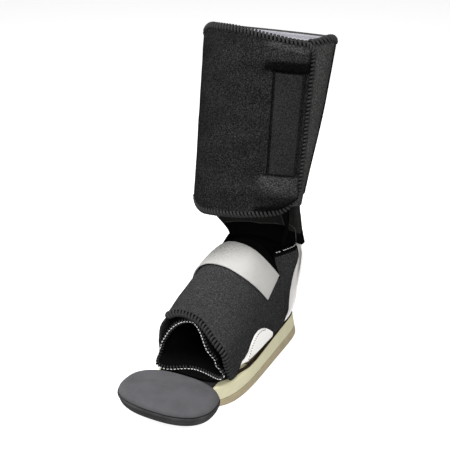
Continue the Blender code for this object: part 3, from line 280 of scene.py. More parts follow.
def cushion(name, place, size, layer, *finishes, rim=0.003, crown=0.0, swell=0.0, seed=1, wrap=False,
            relief=None, step=0.003, extra=()):
    """Padded panel: place(u, v, out) over lengths size, between two distances, rounded along its edges.

    rim is the width of the rounding, or four widths for the edges at u = 0 and 1 and v = 0 and 1. crown and
    swell lift the outer face towards its middle and unevenly, relief(u, v) shapes it further, and extra holds
    more shares of the first length where the relief is fine.
    """
    rims = (rim,) * 4 if isinstance(rim, float) else rim
    us = rimmed(size[0], rims[:2], step)
    if wrap:
        us = np.linspace(0.0, 1.0, round(size[0] / step), endpoint=False)
    us = np.unique(np.concatenate((us, extra)))
    u, v = np.meshgrid(us, rimmed(size[1], rims[2:], step), indexing="ij")
    full = rim_share(v, size[1], rims[2:])
    if not wrap:
        full = full * rim_share(u, size[0], rims[:2])
    bow = np.sin(math.pi * u) ** CROWN_POWER * np.sin(math.pi * v) ** CROWN_POWER
    lift = crown * bow + swell * ripple(u * size[0], v * size[1], SWELL_LENGTH, seed)
    if relief is not None:
        lift = lift + relief(u, v)
    middle = (layer[0] + layer[1]) / 2.0
    half = (layer[1] - layer[0]) / 2.0
    outer = place(u, v, middle + full * (half + lift))
    inner = place(u, v, middle - full * half)
    return slab(name, outer, inner, finishes, wrap, [width >= SEWN_RIM for width in rims])


def tubes(name, paths, radius, title, sides=6, taper=0.6):
    """One object of round threads, from an array of paths of the same number of points."""
    count, knots = paths.shape[:2]
    tangent = unit(np.gradient(paths, axis=1))
    chord = paths[:, -1] - paths[:, 0]
    bend = paths[:, knots // 2] - (paths[:, -1] + paths[:, 0]) / 2.0
    aside = np.cross(chord, bend)
    plain = np.cross(chord, np.array(OFF_AXIS))
    aside = np.where(np.linalg.norm(aside, axis=-1, keepdims=True) > 1e-12, aside, plain)
    aside = np.repeat(aside[:, None], knots, 1)
    aside = unit(aside - tangent * np.sum(aside * tangent, -1, keepdims=True))
    up = np.cross(tangent, aside)
    turn = np.linspace(0.0, 2.0 * math.pi, sides, endpoint=False)
    slim = np.ones(knots)
    slim[[0, -1]] = taper
    ring = np.cos(turn)[:, None] * aside[:, :, None] + np.sin(turn)[:, None] * up[:, :, None]
    points = paths[:, :, None] + radius * slim[None, :, None, None] * ring
    index = np.arange(count * knots * sides).reshape(count, knots, sides)
    after = np.roll(index, -1, axis=2)
    faces = stack(index[:, :-1], index[:, 1:], after[:, 1:], after[:, :-1]).reshape(-1, 4).tolist()
    faces += index[:, 0].tolist() + index[:, -1, ::-1].tolist()
    return mesh_object(name, points, faces, (title,))


def seam_frames(lay, line, out, pitch, closed=False):
    """Places evenly spaced along an edge: points, and directions along it, out of the face and inwards.

    lay(a, b, out) gives points of the panel, and line holds the edge as pairs (a, b). The panel lies at its
    right, seen from outside, or where b grows if the edge is closed.
    """
    if closed:
        line = np.concatenate((line, line[:1]))
    run = run_along(lay(line[:, 0], line[:, 1], out))
    count = max(2, round(run[-1] / pitch))
    at = (np.arange(count) + 0.5) * run[-1] / count

    def pair(where):
        where = where % run[-1] if closed else np.clip(where, 0.0, run[-1])
        return (np.interp(where, run, line[:, k]) for k in (0, 1))

    a, b = pair(at)
    point = lay(a, b, out)
    along = unit(lay(*pair(at + pitch / 2.0), out) - lay(*pair(at - pitch / 2.0), out))
    normal = unit(lay(a, b, out + 1e-4) - point)
    into = unit(np.cross(along, normal))
    if closed:
        inside = lay(a, b + 0.001, out) - point
        into = into * np.sign(np.sum(into * inside, -1, keepdims=True))
    return point, along, normal, into


def overlock(name, frames, half, bite, radius, slant, reach=112.0):
    """Slanted threads that wrap a panel's edge, one at each place of a seam."""
    point, along, normal, into = (part[:, None] for part in frames)
    turn = np.radians(np.linspace(-reach, reach, 9))
    inset = bite / 2.0 - (bite / 2.0 + radius * 0.7) * np.cos(turn)
    rise = (half + radius * 0.5) * np.sin(turn)
    shift = slant * turn / turn[-1]
    paths = point + into * inset[:, None] + normal * rise[:, None] + along * shift[:, None]
    return tubes(name, paths, radius, "edging_thread")


def edging(name, frames, half, sizes):
    """Thread edging of a padded panel."""
    return overlock(name, frames, half, sizes.edging_bite, sizes.edging_thread, sizes.edging_slant)


def dashes(name, frames, lift, inset, sizes):
    """Pale stitches that lie on a face along a seam, with their ends let into it."""
    point, along, normal, into = (part[:, None] for part in frames)
    share = np.linspace(-1.0, 1.0, 5)
    height = lift - sizes.stitch_thread * 1.6 * share ** 4
    reach = share * sizes.stitch_length / 2.0
    paths = point + into * inset + normal * height[:, None] + along * reach[:, None]
    return tubes(name, paths, sizes.stitch_thread, "stitch_thread")


def declare(nodes=()):
    """Hides the carried-over solids that a piece replaces."""
    if nodes:
        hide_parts(*nodes)


def dress(obj, body, nodes=()):
    """Fixes a finished piece to its body, and hides the solids it replaces."""
    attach(obj, body)
    declare(nodes)


# Finishes

WHITE = (1.0, 1.0, 1.0, 1.0)
MID_GREY = (0.5, 0.5, 0.5, 1.0)
FLECK_GREY = (0.30, 0.30, 0.31, 1.0)
DARKEST_PAINTED_SHADE = 0.42           # share of its colour that the painted shade keeps where the fabric faces down
SOCKET_KINDS = {1: "Float", 3: "Vector", 4: "Color"}
NOWHERE = (0.0, 0.0, -9.0)
STRAP_DARK_PATCH = ((-0.024, 0.027, 0.134), 0.046)  # middle and reach of the strap's darker patch


def feed(tree, node, inputs):
    """Sets a node's inputs to plain values, or links other nodes' sockets to them."""
    for title, value in inputs.items():
        if isinstance(value, bpy.types.NodeSocket):
            tree.links.new(value, node.inputs[title])
        else:
            node.inputs[title].default_value = value


def add(tree, kind, inputs, **settings):
    """New node with its settings and its inputs."""
    node = tree.nodes.new("ShaderNode" + kind)
    for title, value in settings.items():
        setattr(node, title, value)
    feed(tree, node, inputs)
    return node


def noise(tree, place, scale, detail=2.0, rough=0.5):
    """Noise at a place, with a number or a socket as its scale."""
    inputs = {"Vector": place, "Scale": scale, "Detail": detail, "Roughness": rough}
    return add(tree, "TexNoise", inputs).outputs["Fac"]


def reckon(tree, operation, first, second, clamp=False):
    """Result of a sum on two numbers or sockets."""
    return add(tree, "Math", {0: first, 1: second}, operation=operation, use_clamp=clamp).outputs[0]


def spread(tree, value, low, high, to_low=0.0, to_high=1.0):
    """Value moved from one range to another and held there."""
    inputs = {"Value": value, "From Min": low, "From Max": high, "To Min": to_low, "To Max": to_high}
    return add(tree, "MapRange", inputs).outputs["Result"]


def blend_colour(tree, share, first, second, way="MIX"):
    """Colour between two colours or sockets."""
    return add(tree, "Mix", {0: share, 6: first, 7: second}, data_type="RGBA", blend_type=way).outputs[2]


def node_group(name, inputs, outputs):
    """New shader node group with the sockets of its inputs, its output node and the place on the object."""
    tree = bpy.data.node_groups.new(name, "ShaderNodeTree")
    for title, value in inputs.items():
        kind = "NodeSocket" + SOCKET_KINDS[np.size(value)]
        tree.interface.new_socket(name=title, in_out="INPUT", socket_type=kind).default_value = value
    for title, kind in outputs.items():
        tree.interface.new_socket(name=title, in_out="OUTPUT", socket_type="NodeSocket" + kind)
    place = add(tree, "TexCoord", {}).outputs["Object"]
    return tree, tree.nodes.new("NodeGroupInput").outputs, tree.nodes.new("NodeGroupOutput"), place


def pile_group():
    """Brushed loop pile: fibres in two tones with a few bright flecks, and painted light and shade: lighter
    where the face turns up, darker where it turns down.
    """
    inputs = {"Dark": MID_GREY, "Light": MID_GREY, "Scale": 700.0, "Flecks": 0.3, "Nap": 0.0}
    tree, given, result, place = node_group("pile_speckle", inputs, {"Color": "Color", "Height": "Float"})
    tuft = noise(tree, place, given["Scale"], 3.0, 0.65)
    fine = noise(tree, place, reckon(tree, "MULTIPLY", given["Scale"], 2.7), 2.0, 0.6)
    broad = spread(tree, noise(tree, place, 26.0), 0.3, 0.7, -0.05, 0.05)
    pile = reckon(tree, "ADD", reckon(tree, "MULTIPLY", tuft, 0.62), reckon(tree, "MULTIPLY", fine, 0.38))
    shade = reckon(tree, "ADD", spread(tree, pile, 0.46, 0.66), broad, True)
    colour = blend_colour(tree, shade, given["Dark"], given["Light"])
    fleck = reckon(tree, "MULTIPLY", spread(tree, fine, 0.64, 0.74), given["Flecks"])
    bright = blend_colour(tree, fleck, colour, FLECK_GREY)
    normal = add(tree, "SeparateXYZ", {0: add(tree, "TexCoord", {}).outputs["Normal"]})
    # Painted light and shade: lighter where the face turns up, darker where it turns down.
    facing = spread(tree, normal.outputs["Z"], -0.35, 0.55, -1.0, 1.0)
    nap = reckon(tree, "ADD", reckon(tree, "MULTIPLY", facing, given["Nap"]), 1.0)
    nap = reckon(tree, "MAXIMUM", nap, DARKEST_PAINTED_SHADE)
    feed(tree, result, {"Color": blend_colour(tree, 1.0, bright, nap, "MULTIPLY"), "Height": pile})
    return tree


def mottle_group():
    """Broad uneven tone with finer grain in it and a darker patch, for webbing, plastic and sole foam."""
    inputs = {"Colour": MID_GREY, "Worn": MID_GREY, "Scale": 40.0, "Grain": 900.0, "Amount": 0.5,
              "Centre": NOWHERE, "Reach": 0.001}
    tree, given, result, place = node_group("mottle", inputs, {"Color": "Color", "Height": "Float"})
    broad = noise(tree, place, given["Scale"], 4.0, 0.6)
    grain = noise(tree, place, given["Grain"], 2.0, 0.6)
    fine = spread(tree, grain, 0.4, 0.75, -0.1, 0.4)
    mask = reckon(tree, "ADD", spread(tree, broad, 0.40, 0.70, 0.0, 0.8), fine, True)
    away = add(tree, "VectorMath", {0: place, 1: given["Centre"]}, operation="DISTANCE").outputs["Value"]
    near = spread(tree, reckon(tree, "DIVIDE", away, given["Reach"]), 0.2, 1.0, 1.0, 0.0)
    patch = reckon(tree, "MULTIPLY", near, spread(tree, grain, 0.38, 0.58, 0.3, 1.0))
    share = reckon(tree, "MAXIMUM", reckon(tree, "MULTIPLY", mask, given["Amount"]), patch)
    colour = blend_colour(tree, share, given["Colour"], given["Worn"])
    feed(tree, result, {"Color": colour, "Height": grain})
    return tree


def weave_group():
    """Crossing ribs of a woven or knitted face."""
    tree, given, result, place = node_group("weave", {"Scale": 400.0}, {"Height": "Float"})
    inputs = {"Vector": place, "Scale": given["Scale"], "Distortion": 0.6, "Detail": 1.0}
    ribs = (add(tree, "TexWave", inputs, bands_direction=way).outputs["Fac"] for way in ("X", "Z"))
    feed(tree, result, {"Height": reckon(tree, "MULTIPLY", *ribs)})
    return tree


def place_group(tree, name, **values):
    """Shared group placed in a material with its own values, and built the first time it is asked for."""
    makers = {"pile_speckle": pile_group, "mottle": mottle_group, "weave": weave_group}
    shared = bpy.data.node_groups.get(name) or makers[name]()
    node = add(tree, "Group", {}, node_tree=shared)
    feed(tree, node, values)
    return node.outputs


def new_material(name, inputs):
    """New material with values for its Principled shader."""
    material = bpy.data.materials.new(name)
    material.use_nodes = True
    shader = material.node_tree.nodes["Principled BSDF"]
    feed(material.node_tree, shader, inputs)
    return material, material.node_tree, shader


def show(tree, shader, colour, height, strength, depth):
    """Leads a colour and a bumpy height to the shader."""
    bump = add(tree, "Bump", {"Height": height, "Strength": strength, "Distance": depth})
    feed(tree, shader, {"Base Color": colour, "Normal": bump.outputs["Normal"]})


def tint(colour, share=1.0):
    """Colour with its alpha, made darker or lighter by a factor."""
    return (*(part * share for part in colour), 1.0)


def pile_finish(name, colour, contrast=0.85, scale=850.0, flecks=0.05, depth=0.0002, nap=0.0):
    """Loop fabric whose pile stays round a mean colour, with as much painted light and shade by facing as its
    last setting asks.
    """
    material, tree, shader = new_material(name, {"Roughness": 1.0, "Specular IOR Level": 0.0})
    pile = place_group(tree, "pile_speckle", Dark=tint(colour, 1.0 - contrast * 0.6),
                       Light=tint(colour, 1.0 + contrast * 1.6), Scale=scale, Flecks=flecks, Nap=nap)
    show(tree, shader, pile["Color"], pile["Height"], 0.5, depth)
    return material


def mottled_finish(name, colour, worn, roughness, scale=40.0, grain=900.0, amount=0.6, depth=0.0002,
                   specular=0.4, metallic=0.0, sheen=0.0, weave=None, patch=(NOWHERE, 0.001)):
    """Finish with an uneven tone, from its colour to a worn one, and a fine grain or a weave.

    worn is a colour or a factor, and patch is the middle of a darker patch with its reach.
    """
    material, tree, shader = new_material(name, {
        "Roughness": roughness, "Specular IOR Level": specular, "Metallic": metallic, "Sheen Weight": sheen,
        "Sheen Roughness": 0.45})
    worn = tint(colour, worn) if isinstance(worn, float) else tint(worn)
    mottle = place_group(tree, "mottle", Colour=tint(colour), Worn=worn, Scale=scale, Grain=grain,
                         Amount=amount, Centre=patch[0], Reach=patch[1])
    if weave is None:
        show(tree, shader, mottle["Color"], mottle["Height"], 0.5, depth)
    else:
        ribs = place_group(tree, "weave", Scale=weave)
        show(tree, shader, mottle["Color"], ribs["Height"], 0.6, depth)
    return material


PILES = {
    "calf_pile": dict(contrast=1.1, scale=700.0, nap=1.5),
    "strip_pile": dict(scale=900.0, nap=0.5),
    "back_pile": dict(),
    "foot_pile": dict(contrast=0.72, scale=680.0),
    "dull_black": dict(contrast=0.6, scale=1100.0, flecks=0.0),
    "sleeve_pile": dict(contrast=0.6, scale=900.0, flecks=0.0),
    "edging_thread": dict(contrast=0.5, scale=1400.0, flecks=0.1, depth=0.0001),
    "hem_thread": dict(contrast=0.4),
    "brown_loop_pad": dict(contrast=0.5, scale=900.0, flecks=0.0),
    "attachment_pile": dict(contrast=0.5, scale=900.0, flecks=0.0),
}
MOTTLES = {
    "grey_knit": dict(worn=0.8, roughness=0.9, grain=1200.0, depth=0.0003, specular=0.2, sheen=0.1,
                      weave=260.0),
    "strap_webbing": dict(worn=(0.075, 0.07, 0.066), roughness=0.85, scale=34.0, grain=1200.0, amount=0.2,
                          depth=0.0003, specular=0.2, weave=300.0, patch=STRAP_DARK_PATCH),
    "stitch_thread": dict(worn=0.5, roughness=0.8, scale=300.0, grain=3000.0),
    "white_plastic": dict(worn=0.9, roughness=0.38, scale=24.0, grain=1800.0, amount=0.5, depth=0.00005),
    "cream_midsole": dict(worn=0.82, roughness=0.6, scale=60.0, grain=700.0, amount=0.5),
    "tan_outsole": dict(worn=0.7, roughness=0.75, scale=90.0, grain=500.0),
    "grey_upholstery": dict(worn=0.6, roughness=0.8, scale=50.0, grain=1300.0, amount=0.7, specular=0.15),
    "dark_upholstery": dict(worn=2.4, roughness=0.9, scale=50.0, specular=0.05),
    "black_hook_tape": dict(worn=2.25, roughness=0.7, scale=200.0, grain=1600.0, amount=0.8),
    "dark_plate": dict(worn=(0.02, 0.02, 0.02), roughness=0.8, specular=0.05),
    "zinc_steel": dict(worn=(0.45, 0.45, 0.47), roughness=0.35, scale=120.0, metallic=1.0),
}
made = {}


def finish(name):
    """Finish in the colour setting of its name, made the first time it is asked for."""
    if name not in made:
        colour = getattr(bpy.context.scene.orthosis_colours, name)
        if name in PILES:
            made[name] = pile_finish(name, colour, **PILES[name])
        else:
            made[name] = mottled_finish(name, colour, **MOTTLES[name])
    return made[name]


# Settings

def a_length(title, words, value):
    """Length setting."""
    return FloatProperty(name=title, description=words, default=value, unit="LENGTH")


def a_power(title, words, value):
    """Setting of a lamp's power."""
    return FloatProperty(name=title, description=words, default=value, subtype="POWER")


def an_angle(title, words, value):
    """Angle setting, from degrees."""
    return FloatProperty(name=title, description=words, default=math.radians(value), subtype="ANGLE")


def a_colour(title, words, value):
    """Colour setting."""
    return FloatVectorProperty(name=title, description=words, default=value, subtype="COLOR", size=3, min=0.0,
                               max=1.0)


class OrthosisSizes(bpy.types.PropertyGroup):
    """Sizes of the sewn details."""
    edging_pitch: a_length("Edging pitch", "Distance between edging threads", 0.0043)
    edging_thread: a_length("Edging thread", "Radius of an edging thread", 0.0015)
    edging_bite: a_length("Edging bite", "How far the edging reaches over a panel", 0.0074)
    edging_slant: a_length("Edging slant", "Slant of an edging thread along the edge", 0.0026)
    stitch_length: a_length("Stitch length", "Length of a visible stitch", 0.0022)
    stitch_thread: a_length("Stitch thread", "Radius of a stitching thread", 0.00045)
    swell: a_length("Swell", "Unevenness of the padded faces", 0.00035)


class OrthosisColours(bpy.types.PropertyGroup):
    """Colours of the finishes, each under its finish's name."""
    # calf_pile, back_pile and foot_pile are one black loop fabric: their different colours are lit and shaded
    # copies of it, painted light and shade.
    calf_pile: a_colour("Calf pile", "Loop fabric of the calf flap", (0.0112, 0.0112, 0.0115))
    strip_pile: a_colour("Strip pile", "Closure strip of the calf flap", (0.0168, 0.0168, 0.01725))
    back_pile: a_colour("Back pile", "Loop fabric of the calf cuff's back panel", (0.042, 0.042, 0.041))
    foot_pile: a_colour("Foot pile", "Loop fabric of the foot wrap", (0.031, 0.031, 0.0318))
    # Also painted shade: the rims under edgings, the ankle pad in its gap and the foot flap's rear upper
    # corner.
    dull_black: a_colour("Dull black", "Inside of the foot wrap and black hems", (0.003, 0.003, 0.003))
    sleeve_pile: a_colour("Sleeve pile", "Sleeve round the upright", (0.020, 0.020, 0.019))
    grey_knit: a_colour("Grey knit", "Inside of the calf cuff", (0.265, 0.261, 0.286))
    strap_webbing: a_colour("Strap webbing", "Instep strap", (0.435, 0.428, 0.412))
    white_plastic: a_colour("White plastic", "Shell", (0.86, 0.84, 0.815))
    cream_midsole: a_colour("Cream midsole", "Upper layer of the sole", (0.60, 0.57, 0.38))
    tan_outsole: a_colour("Tan outsole", "Lower layer of the sole", (0.38, 0.32, 0.205))
    grey_upholstery: a_colour("Grey upholstery", "Cover of the toe pad", (0.072, 0.0703, 0.0756))
    dark_upholstery: a_colour("Dark upholstery", "Underside of the toe pad", (0.027, 0.027, 0.027))
    edging_thread: a_colour("Edging thread", "Thread that edges the panels", (0.031, 0.031, 0.031))
    stitch_thread: a_colour("Stitch thread", "Pale stitching", (0.62, 0.60, 0.60))
    hem_thread: a_colour("Hem thread", "Hem of the ankle pad", (0.05, 0.05, 0.048))
    black_hook_tape: a_colour("Black hook tape", "Hook tapes and pads", (0.02, 0.02, 0.02))
    brown_loop_pad: a_colour("Brown loop pad", "Pads between sole and shell", (0.13, 0.092, 0.06))
    attachment_pile: a_colour("Attachment pile", "Edge of those pads", (0.022, 0.016, 0.011))
    dark_plate: a_colour("Dark plate", "Toe plate", (0.012, 0.012, 0.012))
    zinc_steel: a_colour("Zinc steel", "Screws and nuts", (0.60, 0.60, 0.62))


class OrthosisStage(bpy.types.PropertyGroup):
    """Camera and lights."""
    azimuth: an_angle("Azimuth", "Direction of the camera round the object", 28.2)
    elevation: an_angle("Elevation", "Height of the camera above the horizon", 23.42)
    distance: a_length("Distance", "From the camera to the point it looks at", 1.05)
    aim_height: a_length("Aim height", "Height of the point that the camera looks at", 0.1785)
    lens: FloatProperty(name="Lens", description="Focal length in millimetres", default=75.68)
    top_light: a_power("Top light", "Power of the light above", 30.0)
    side_light: a_power("Side light", "Power of the light at the camera's right", 22.0)
    left_light: a_power("Left light", "Power of the light at the camera's left", 9.0)
    world_light: FloatProperty(name="World light", description="Strength of the even light from all round",
                               default=0.14)


# Calf cuff

FLAP_WIDTH = 0.163           # round the leg
FLAP_SIZE = (0.190, 0.205)   # with the part behind its fold
FLAP_FREE_ANGLE = 157.0
FLAP_FREE_SLANT = 68.0       # degrees that the free edge gains per metre downwards
FLAP_FOLD_ANGLE = -22.0      # where the flap is sewn down behind its fold
FLAP_SEAT_ANGLE = 24.0       # degrees over which it rises from there to its layer
FLAP_HEIGHTS = (-0.024, 0.1915)
FREE_CORNERS = (0.028, 0.013)  # below and above, like the next
FOLD_CORNERS = (0.013, 0.0085)
STRIP_SHARES = (0.752, 0.941)
STRIP_HEIGHTS = (0.0345, 0.149)
STRIP_RECESS = 0.0044
STRIP_THICK = 0.0038
STRIP_GAP = 0.0016           # open groove round the strip
ROLL_RISE = (0.0105, 0.0088)  # of the padding below and above the strip, like the next
ROLL_LENGTH = (0.021, 0.0125)
SEEN_SIDES = (18.3, 198.3)   # angles of the cuff's left and right outline, where its corners round off
SEEN_ACROSS = (0.881, 0.473)  # direction across the photo's view, in x and y
CUFF_MIDDLE = 0.09
BACK_ANGLES = (140.0, 352.0)
BACK_LEVEL_ANGLE = 175.0
CUFF_TOP = 0.191
CUFF_TOP_DROP = 0.007
LINING_ANGLES = (24.0, 366.0)
INNER_ANGLES = (24.0, 139.0)
INNER_HEIGHTS = (0.008, 0.180)


def corner_drop(radius, distance):
    """How much a rounded corner takes off an edge at a distance from the corner's side."""
    left = np.clip(radius - distance, 0.0, radius)
    return radius - np.sqrt(radius ** 2 - left ** 2)


def side_drop(angle, radius, out, side=0):
    """Rounded corner of a panel's edge where it turns away at one side of the cuff."""
    away = calf_point(angle, CUFF_MIDDLE, out) - calf_point(SEEN_SIDES[side], CUFF_MIDDLE, out)
    return corner_drop(radius, np.abs(away[..., 0] * SEEN_ACROSS[0] + away[..., 1] * SEEN_ACROSS[1]))


def flap_free(height):
    """Angle of the calf flap's free edge."""
    return FLAP_FREE_ANGLE - FLAP_FREE_SLANT * height


def flap_edges(share):
    """Lower and upper edge of the calf flap at a share of the way to its free edge."""
    low, top = (corner_drop(free, (1.0 - share) * FLAP_WIDTH)
                + side_drop(share * FLAP_FREE_ANGLE, fold, FLAP_LAYER[1])
                for free, fold in zip(FREE_CORNERS, FOLD_CORNERS))
    rise = 0.024 * np.maximum(share, 0.0) ** 2
    fall = 0.009 * ease((share - 0.45) / 0.5)
    return FLAP_HEIGHTS[0] + rise + low, FLAP_HEIGHTS[1] - fall - top


def flap_share(u):
    """Share of the way to the free edge, negative behind the fold."""
    return mix(FLAP_FOLD_ANGLE, FLAP_FREE_ANGLE, u) / FLAP_FREE_ANGLE


def flap_place(u, v, out):
    """Point of the calf flap, u from behind its fold to its free edge."""
    share = flap_share(u)
    height = mix(*flap_edges(share), v)
    angle = share * flap_free(height)
    seat = ease((angle - FLAP_FOLD_ANGLE) / FLAP_SEAT_ANGLE)
    sewn = CUFF_LAYER[1] + 0.0003 + 0.45 * (out - FLAP_LAYER[0])
    puff = 0.0014 * np.exp(-(angle / FLAP_SEAT_ANGLE) ** 2) * (out > FLAP_LAYER[0])
    return calf_point(angle, height, mix(sewn, out + puff, seat))


def roll_rise(distance, length):
    """Rounded rise of a roll of padding over a length, which then falls off slowly."""
    share = distance / length
    return np.sin(np.clip(share, 0.0, 1.0) * QUARTER_TURN) * (1.0 - 0.3 * ease((share - 0.8) / 1.6))


def between(value, low, high):
    """1 between two values and 0 outside them, with a short slope at both."""
    return ease((value - low + 0.0008) / 0.0016) * (1.0 - ease((value - high - 0.0008) / 0.0016))


def flap_relief(u, v):
    """Strip channel of the calf flap, with a full roll of padding above and below it."""
    share = flap_share(u)
    low, top = flap_edges(share)
    height = mix(low, top, v)
    a = share * FLAP_WIDTH
    first, last = (side * FLAP_WIDTH for side in STRIP_SHARES)
    channel = between(a, first, last) * between(height, *STRIP_HEIGHTS)
    past = (STRIP_HEIGHTS[0] - height, height - STRIP_HEIGHTS[1])
    roll = sum(rise * roll_rise(*part) for rise, *part in zip(ROLL_RISE, past, ROLL_LENGTH))
    edge = np.minimum(np.minimum(top - height, height - low), (1.0 - share) * FLAP_WIDTH)
    return roll * ease((a - first + 0.014) / 0.020) * ease((edge - 0.003) / 0.009) - STRIP_RECESS * channel


def strip_place(u, v, out):
    """Point of the closure strip, in the flap's channel."""
    height = mix(STRIP_HEIGHTS[0] + STRIP_GAP, STRIP_HEIGHTS[1] - STRIP_GAP, v)
    inset = STRIP_GAP / FLAP_WIDTH
    share = mix(STRIP_SHARES[0] + inset, STRIP_SHARES[1] - inset, u)
    return calf_point(share * flap_free(height), height, out)


def flap_outline(start):
    """Edge of the calf flap as pairs (angle, height), from a start angle round to the same angle below."""
    corner = 1.0 - 0.1 * np.cos(np.linspace(0.0, QUARTER_TURN, 30))[1:] ** 2
    shares = np.concatenate((np.linspace(start / FLAP_FREE_ANGLE, 0.9, 90), corner))
    low, top = flap_edges(shares)
    side = np.linspace(top[-1], low[-1], 60)[1:-1]
    heights = np.concatenate((top, side, low[::-1]))
    around = np.concatenate((shares, np.ones_like(side), shares[::-1]))
    return stack(around * flap_free(heights), heights)


class ORTHOSIS_OT_calf_flap(bpy.types.Operator):
    """Opening front flap of the calf cuff with its strip and edging"""
    bl_idname = "orthosis.calf_flap"
    bl_label = "Calf flap"

    def execute(self, context):
        sizes = context.scene.orthosis_sizes
        fine = np.linspace(-0.003, 0.003, 13) / FLAP_WIDTH
        shares = np.concatenate([share + fine for share in STRIP_SHARES])
        extra = (shares * FLAP_FREE_ANGLE - FLAP_FOLD_ANGLE) / (FLAP_FREE_ANGLE - FLAP_FOLD_ANGLE)
        # Its rim under the edging takes the black finish as painted shade between the threads.
        flap = cushion("calf_flap", flap_place, FLAP_SIZE, FLAP_LAYER, "calf_pile", "dull_black", "grey_knit",
                       "grey_knit", rim=0.0048, swell=0.00018, seed=3, relief=flap_relief, step=0.0011,
                       extra=extra)
        declare(["cuff_flap_panel"])
        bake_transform(flap)

        floor = FLAP_LAYER[1] - STRIP_RECESS
        strip = cushion("closure_strip", strip_place, (0.030, 0.112), (floor, floor + STRIP_THICK),
                        "strip_pile", rim=0.0020, crown=0.0006, swell=0.0002, seed=5, step=0.0022)
        dress(strip, "cuff_flap", ["cuff_closure_strip"])

        frames = seam_frames(calf_point, flap_outline(6.0), sum(FLAP_LAYER) / 2.0, sizes.edging_pitch)
        dress(edging("calf_flap_edging", frames, 0.0026, sizes), "cuff_flap")
        return {"FINISHED"}


def back_top(angle):
    """Upper edge of the cuff's back panel, which slopes down to the front and rounds off at the fold."""
    slope = CUFF_TOP_DROP * (1.0 - ease((angle - BACK_ANGLES[0]) / (BACK_LEVEL_ANGLE - BACK_ANGLES[0])))
    folded = side_drop(angle, FOLD_CORNERS[1], CUFF_LAYER[1]) * (angle > 300.0)
    return CUFF_TOP - slope - folded - side_drop(angle, 0.004, CUFF_LAYER[1], 1) * (angle < 300.0)


def back_place(u, v, out):
    """Point of the cuff's back panel, which thins out below."""
    angle = mix(*BACK_ANGLES, u)
    height = mix(0.0, back_top(angle), v)
    flat = 0.78 * (1.0 - ease(height / 0.125)) * (1.0 - ease((angle - 205.0) / 30.0))
    return calf_point(angle, height, CUFF_LAYER[0] + (out - CUFF_LAYER[0]) * (1.0 - flat))


def lining_place(u, v, out):
    """Point of the cuff's lining."""
    angle = mix(*LINING_ANGLES, u)
    folded = side_drop(angle, FOLD_CORNERS[1], LINING_LAYER[1])
    top = mix(0.186, 0.1890, ease((angle - 190.0) / 20.0)) - folded
    return calf_point(angle, mix(0.004, top, v), out)


def inner_place(u, v, out):
    """Point of the cuff's inner flap."""
    return calf_point(mix(*INNER_ANGLES, u), mix(*INNER_HEIGHTS, v), out)


class ORTHOSIS_OT_calf_cuff(bpy.types.Operator):
    """Lining, inner flap and back panel of the calf cuff"""
    bl_idname = "orthosis.calf_cuff"
    bl_label = "Calf cuff"

    def execute(self, context):
        sizes = context.scene.orthosis_sizes
        lining = cushion("calf_lining", lining_place, (0.330, 0.183), LINING_LAYER, "grey_knit", rim=0.0022,
                         swell=0.0002, seed=11, step=0.0035)
        dress(lining, "boot", ["cuff_lining"])
        inner = cushion("calf_inner_flap", inner_place, (0.130, 0.172), CUFF_LAYER, "back_pile", rim=0.004,
                        swell=0.0002, seed=12, step=0.004)
        dress(inner, "boot", ["cuff_inner_flap"])
        # Its rim and edge under the top edging take the black finish as painted shade between the threads.
        back = cushion("calf_back_panel", back_place, (0.235, 0.190), CUFF_LAYER, "back_pile", "dull_black",
                       "dull_black", "back_pile", rim=(0.001, 0.001, 0.001, 0.0044), swell=sizes.swell,
                       seed=13, step=0.0028)
        dress(back, "boot", ["cuff_back_panel"])

        angles = np.linspace(BACK_ANGLES[0] + 1.0, 193.0, 60)
        line = stack(angles, back_top(angles))
        frames = seam_frames(calf_point, line, sum(CUFF_LAYER) / 2.0, sizes.edging_pitch)
        dress(edging("calf_back_edging", frames, 0.0034, sizes), "boot")
        side = (SEEN_SIDES[1] - BACK_ANGLES[0]) / (BACK_ANGLES[1] - BACK_ANGLES[0])
        path = back_place(side, np.linspace(0.012, 0.184, 60) / 0.187, CUFF_LAYER[1])
        dress(tubes("calf_back_binding", path[None], 0.0017, "dull_black", sides=8), "boot")
        return {"FINISHED"}


# Foot wrap

WRAP_FRONT_Y = -0.067
FOOT_FLAP_ANGLES = (-50.0, 150.0)
FOOT_SIDE_ANGLE = 230.0
WING_ENDS = (-0.050, 0.041)
SKIRT_ANGLE = 50.0           # angle below the widest line that the hanging sides stand for
BLACK_BACK = ("dull_black",) * 3  # of a panel's rim, edge and back; under an edging, rim and edge take it as painted shade between the threads
FLAP_PAINTED_SHADE = (0.026, 0.098)    # behind this y and above this z the foot flap takes the black finish as painted shade
FOLD_Z = 0.064               # edging below this stays with the boot
FOOTPLATE_TOP = 0.0349
FOOTPLATE_HALF = 0.0445
FOOTPLATE_CORNER = 0.024
FOOTPLATE_TOE_Y = -0.087


def wrap_front(angle):
    """Front edge of the foot wrap at an angle round the foot."""
    width = np.where(angle > 35.0, 45.0, 110.0)
    return WRAP_FRONT_Y - 0.017 * np.exp(-((angle - 35.0) / width) ** 2)


def flap_front(angle):
    """Front edge of the foot flap, rounded off at the free edge and at its lower corner."""
    low, free = (angle - FOOT_FLAP_ANGLES[0]) * 0.0006, (FOOT_FLAP_ANGLES[1] - angle) * 0.0009
    return wrap_front(angle) + corner_drop(0.018, free) + corner_drop(0.010, low)


def wrap_end(y):
    """Angle of the foot flap's free edge."""
    return mix(FOOT_FLAP_ANGLES[1], 122.0, (y + 0.063) / 0.123)


def skirt_low(y):
    """Lower edge of the wrap: inside the wings above their bend, elsewhere over the footplate's edge."""
    clear = ease((y - WING_ENDS[0]) / 0.008) * (1.0 - ease((y - WING_ENDS[1] + 0.008) / 0.008))
    return mix(0.0322, 0.0392, clear)


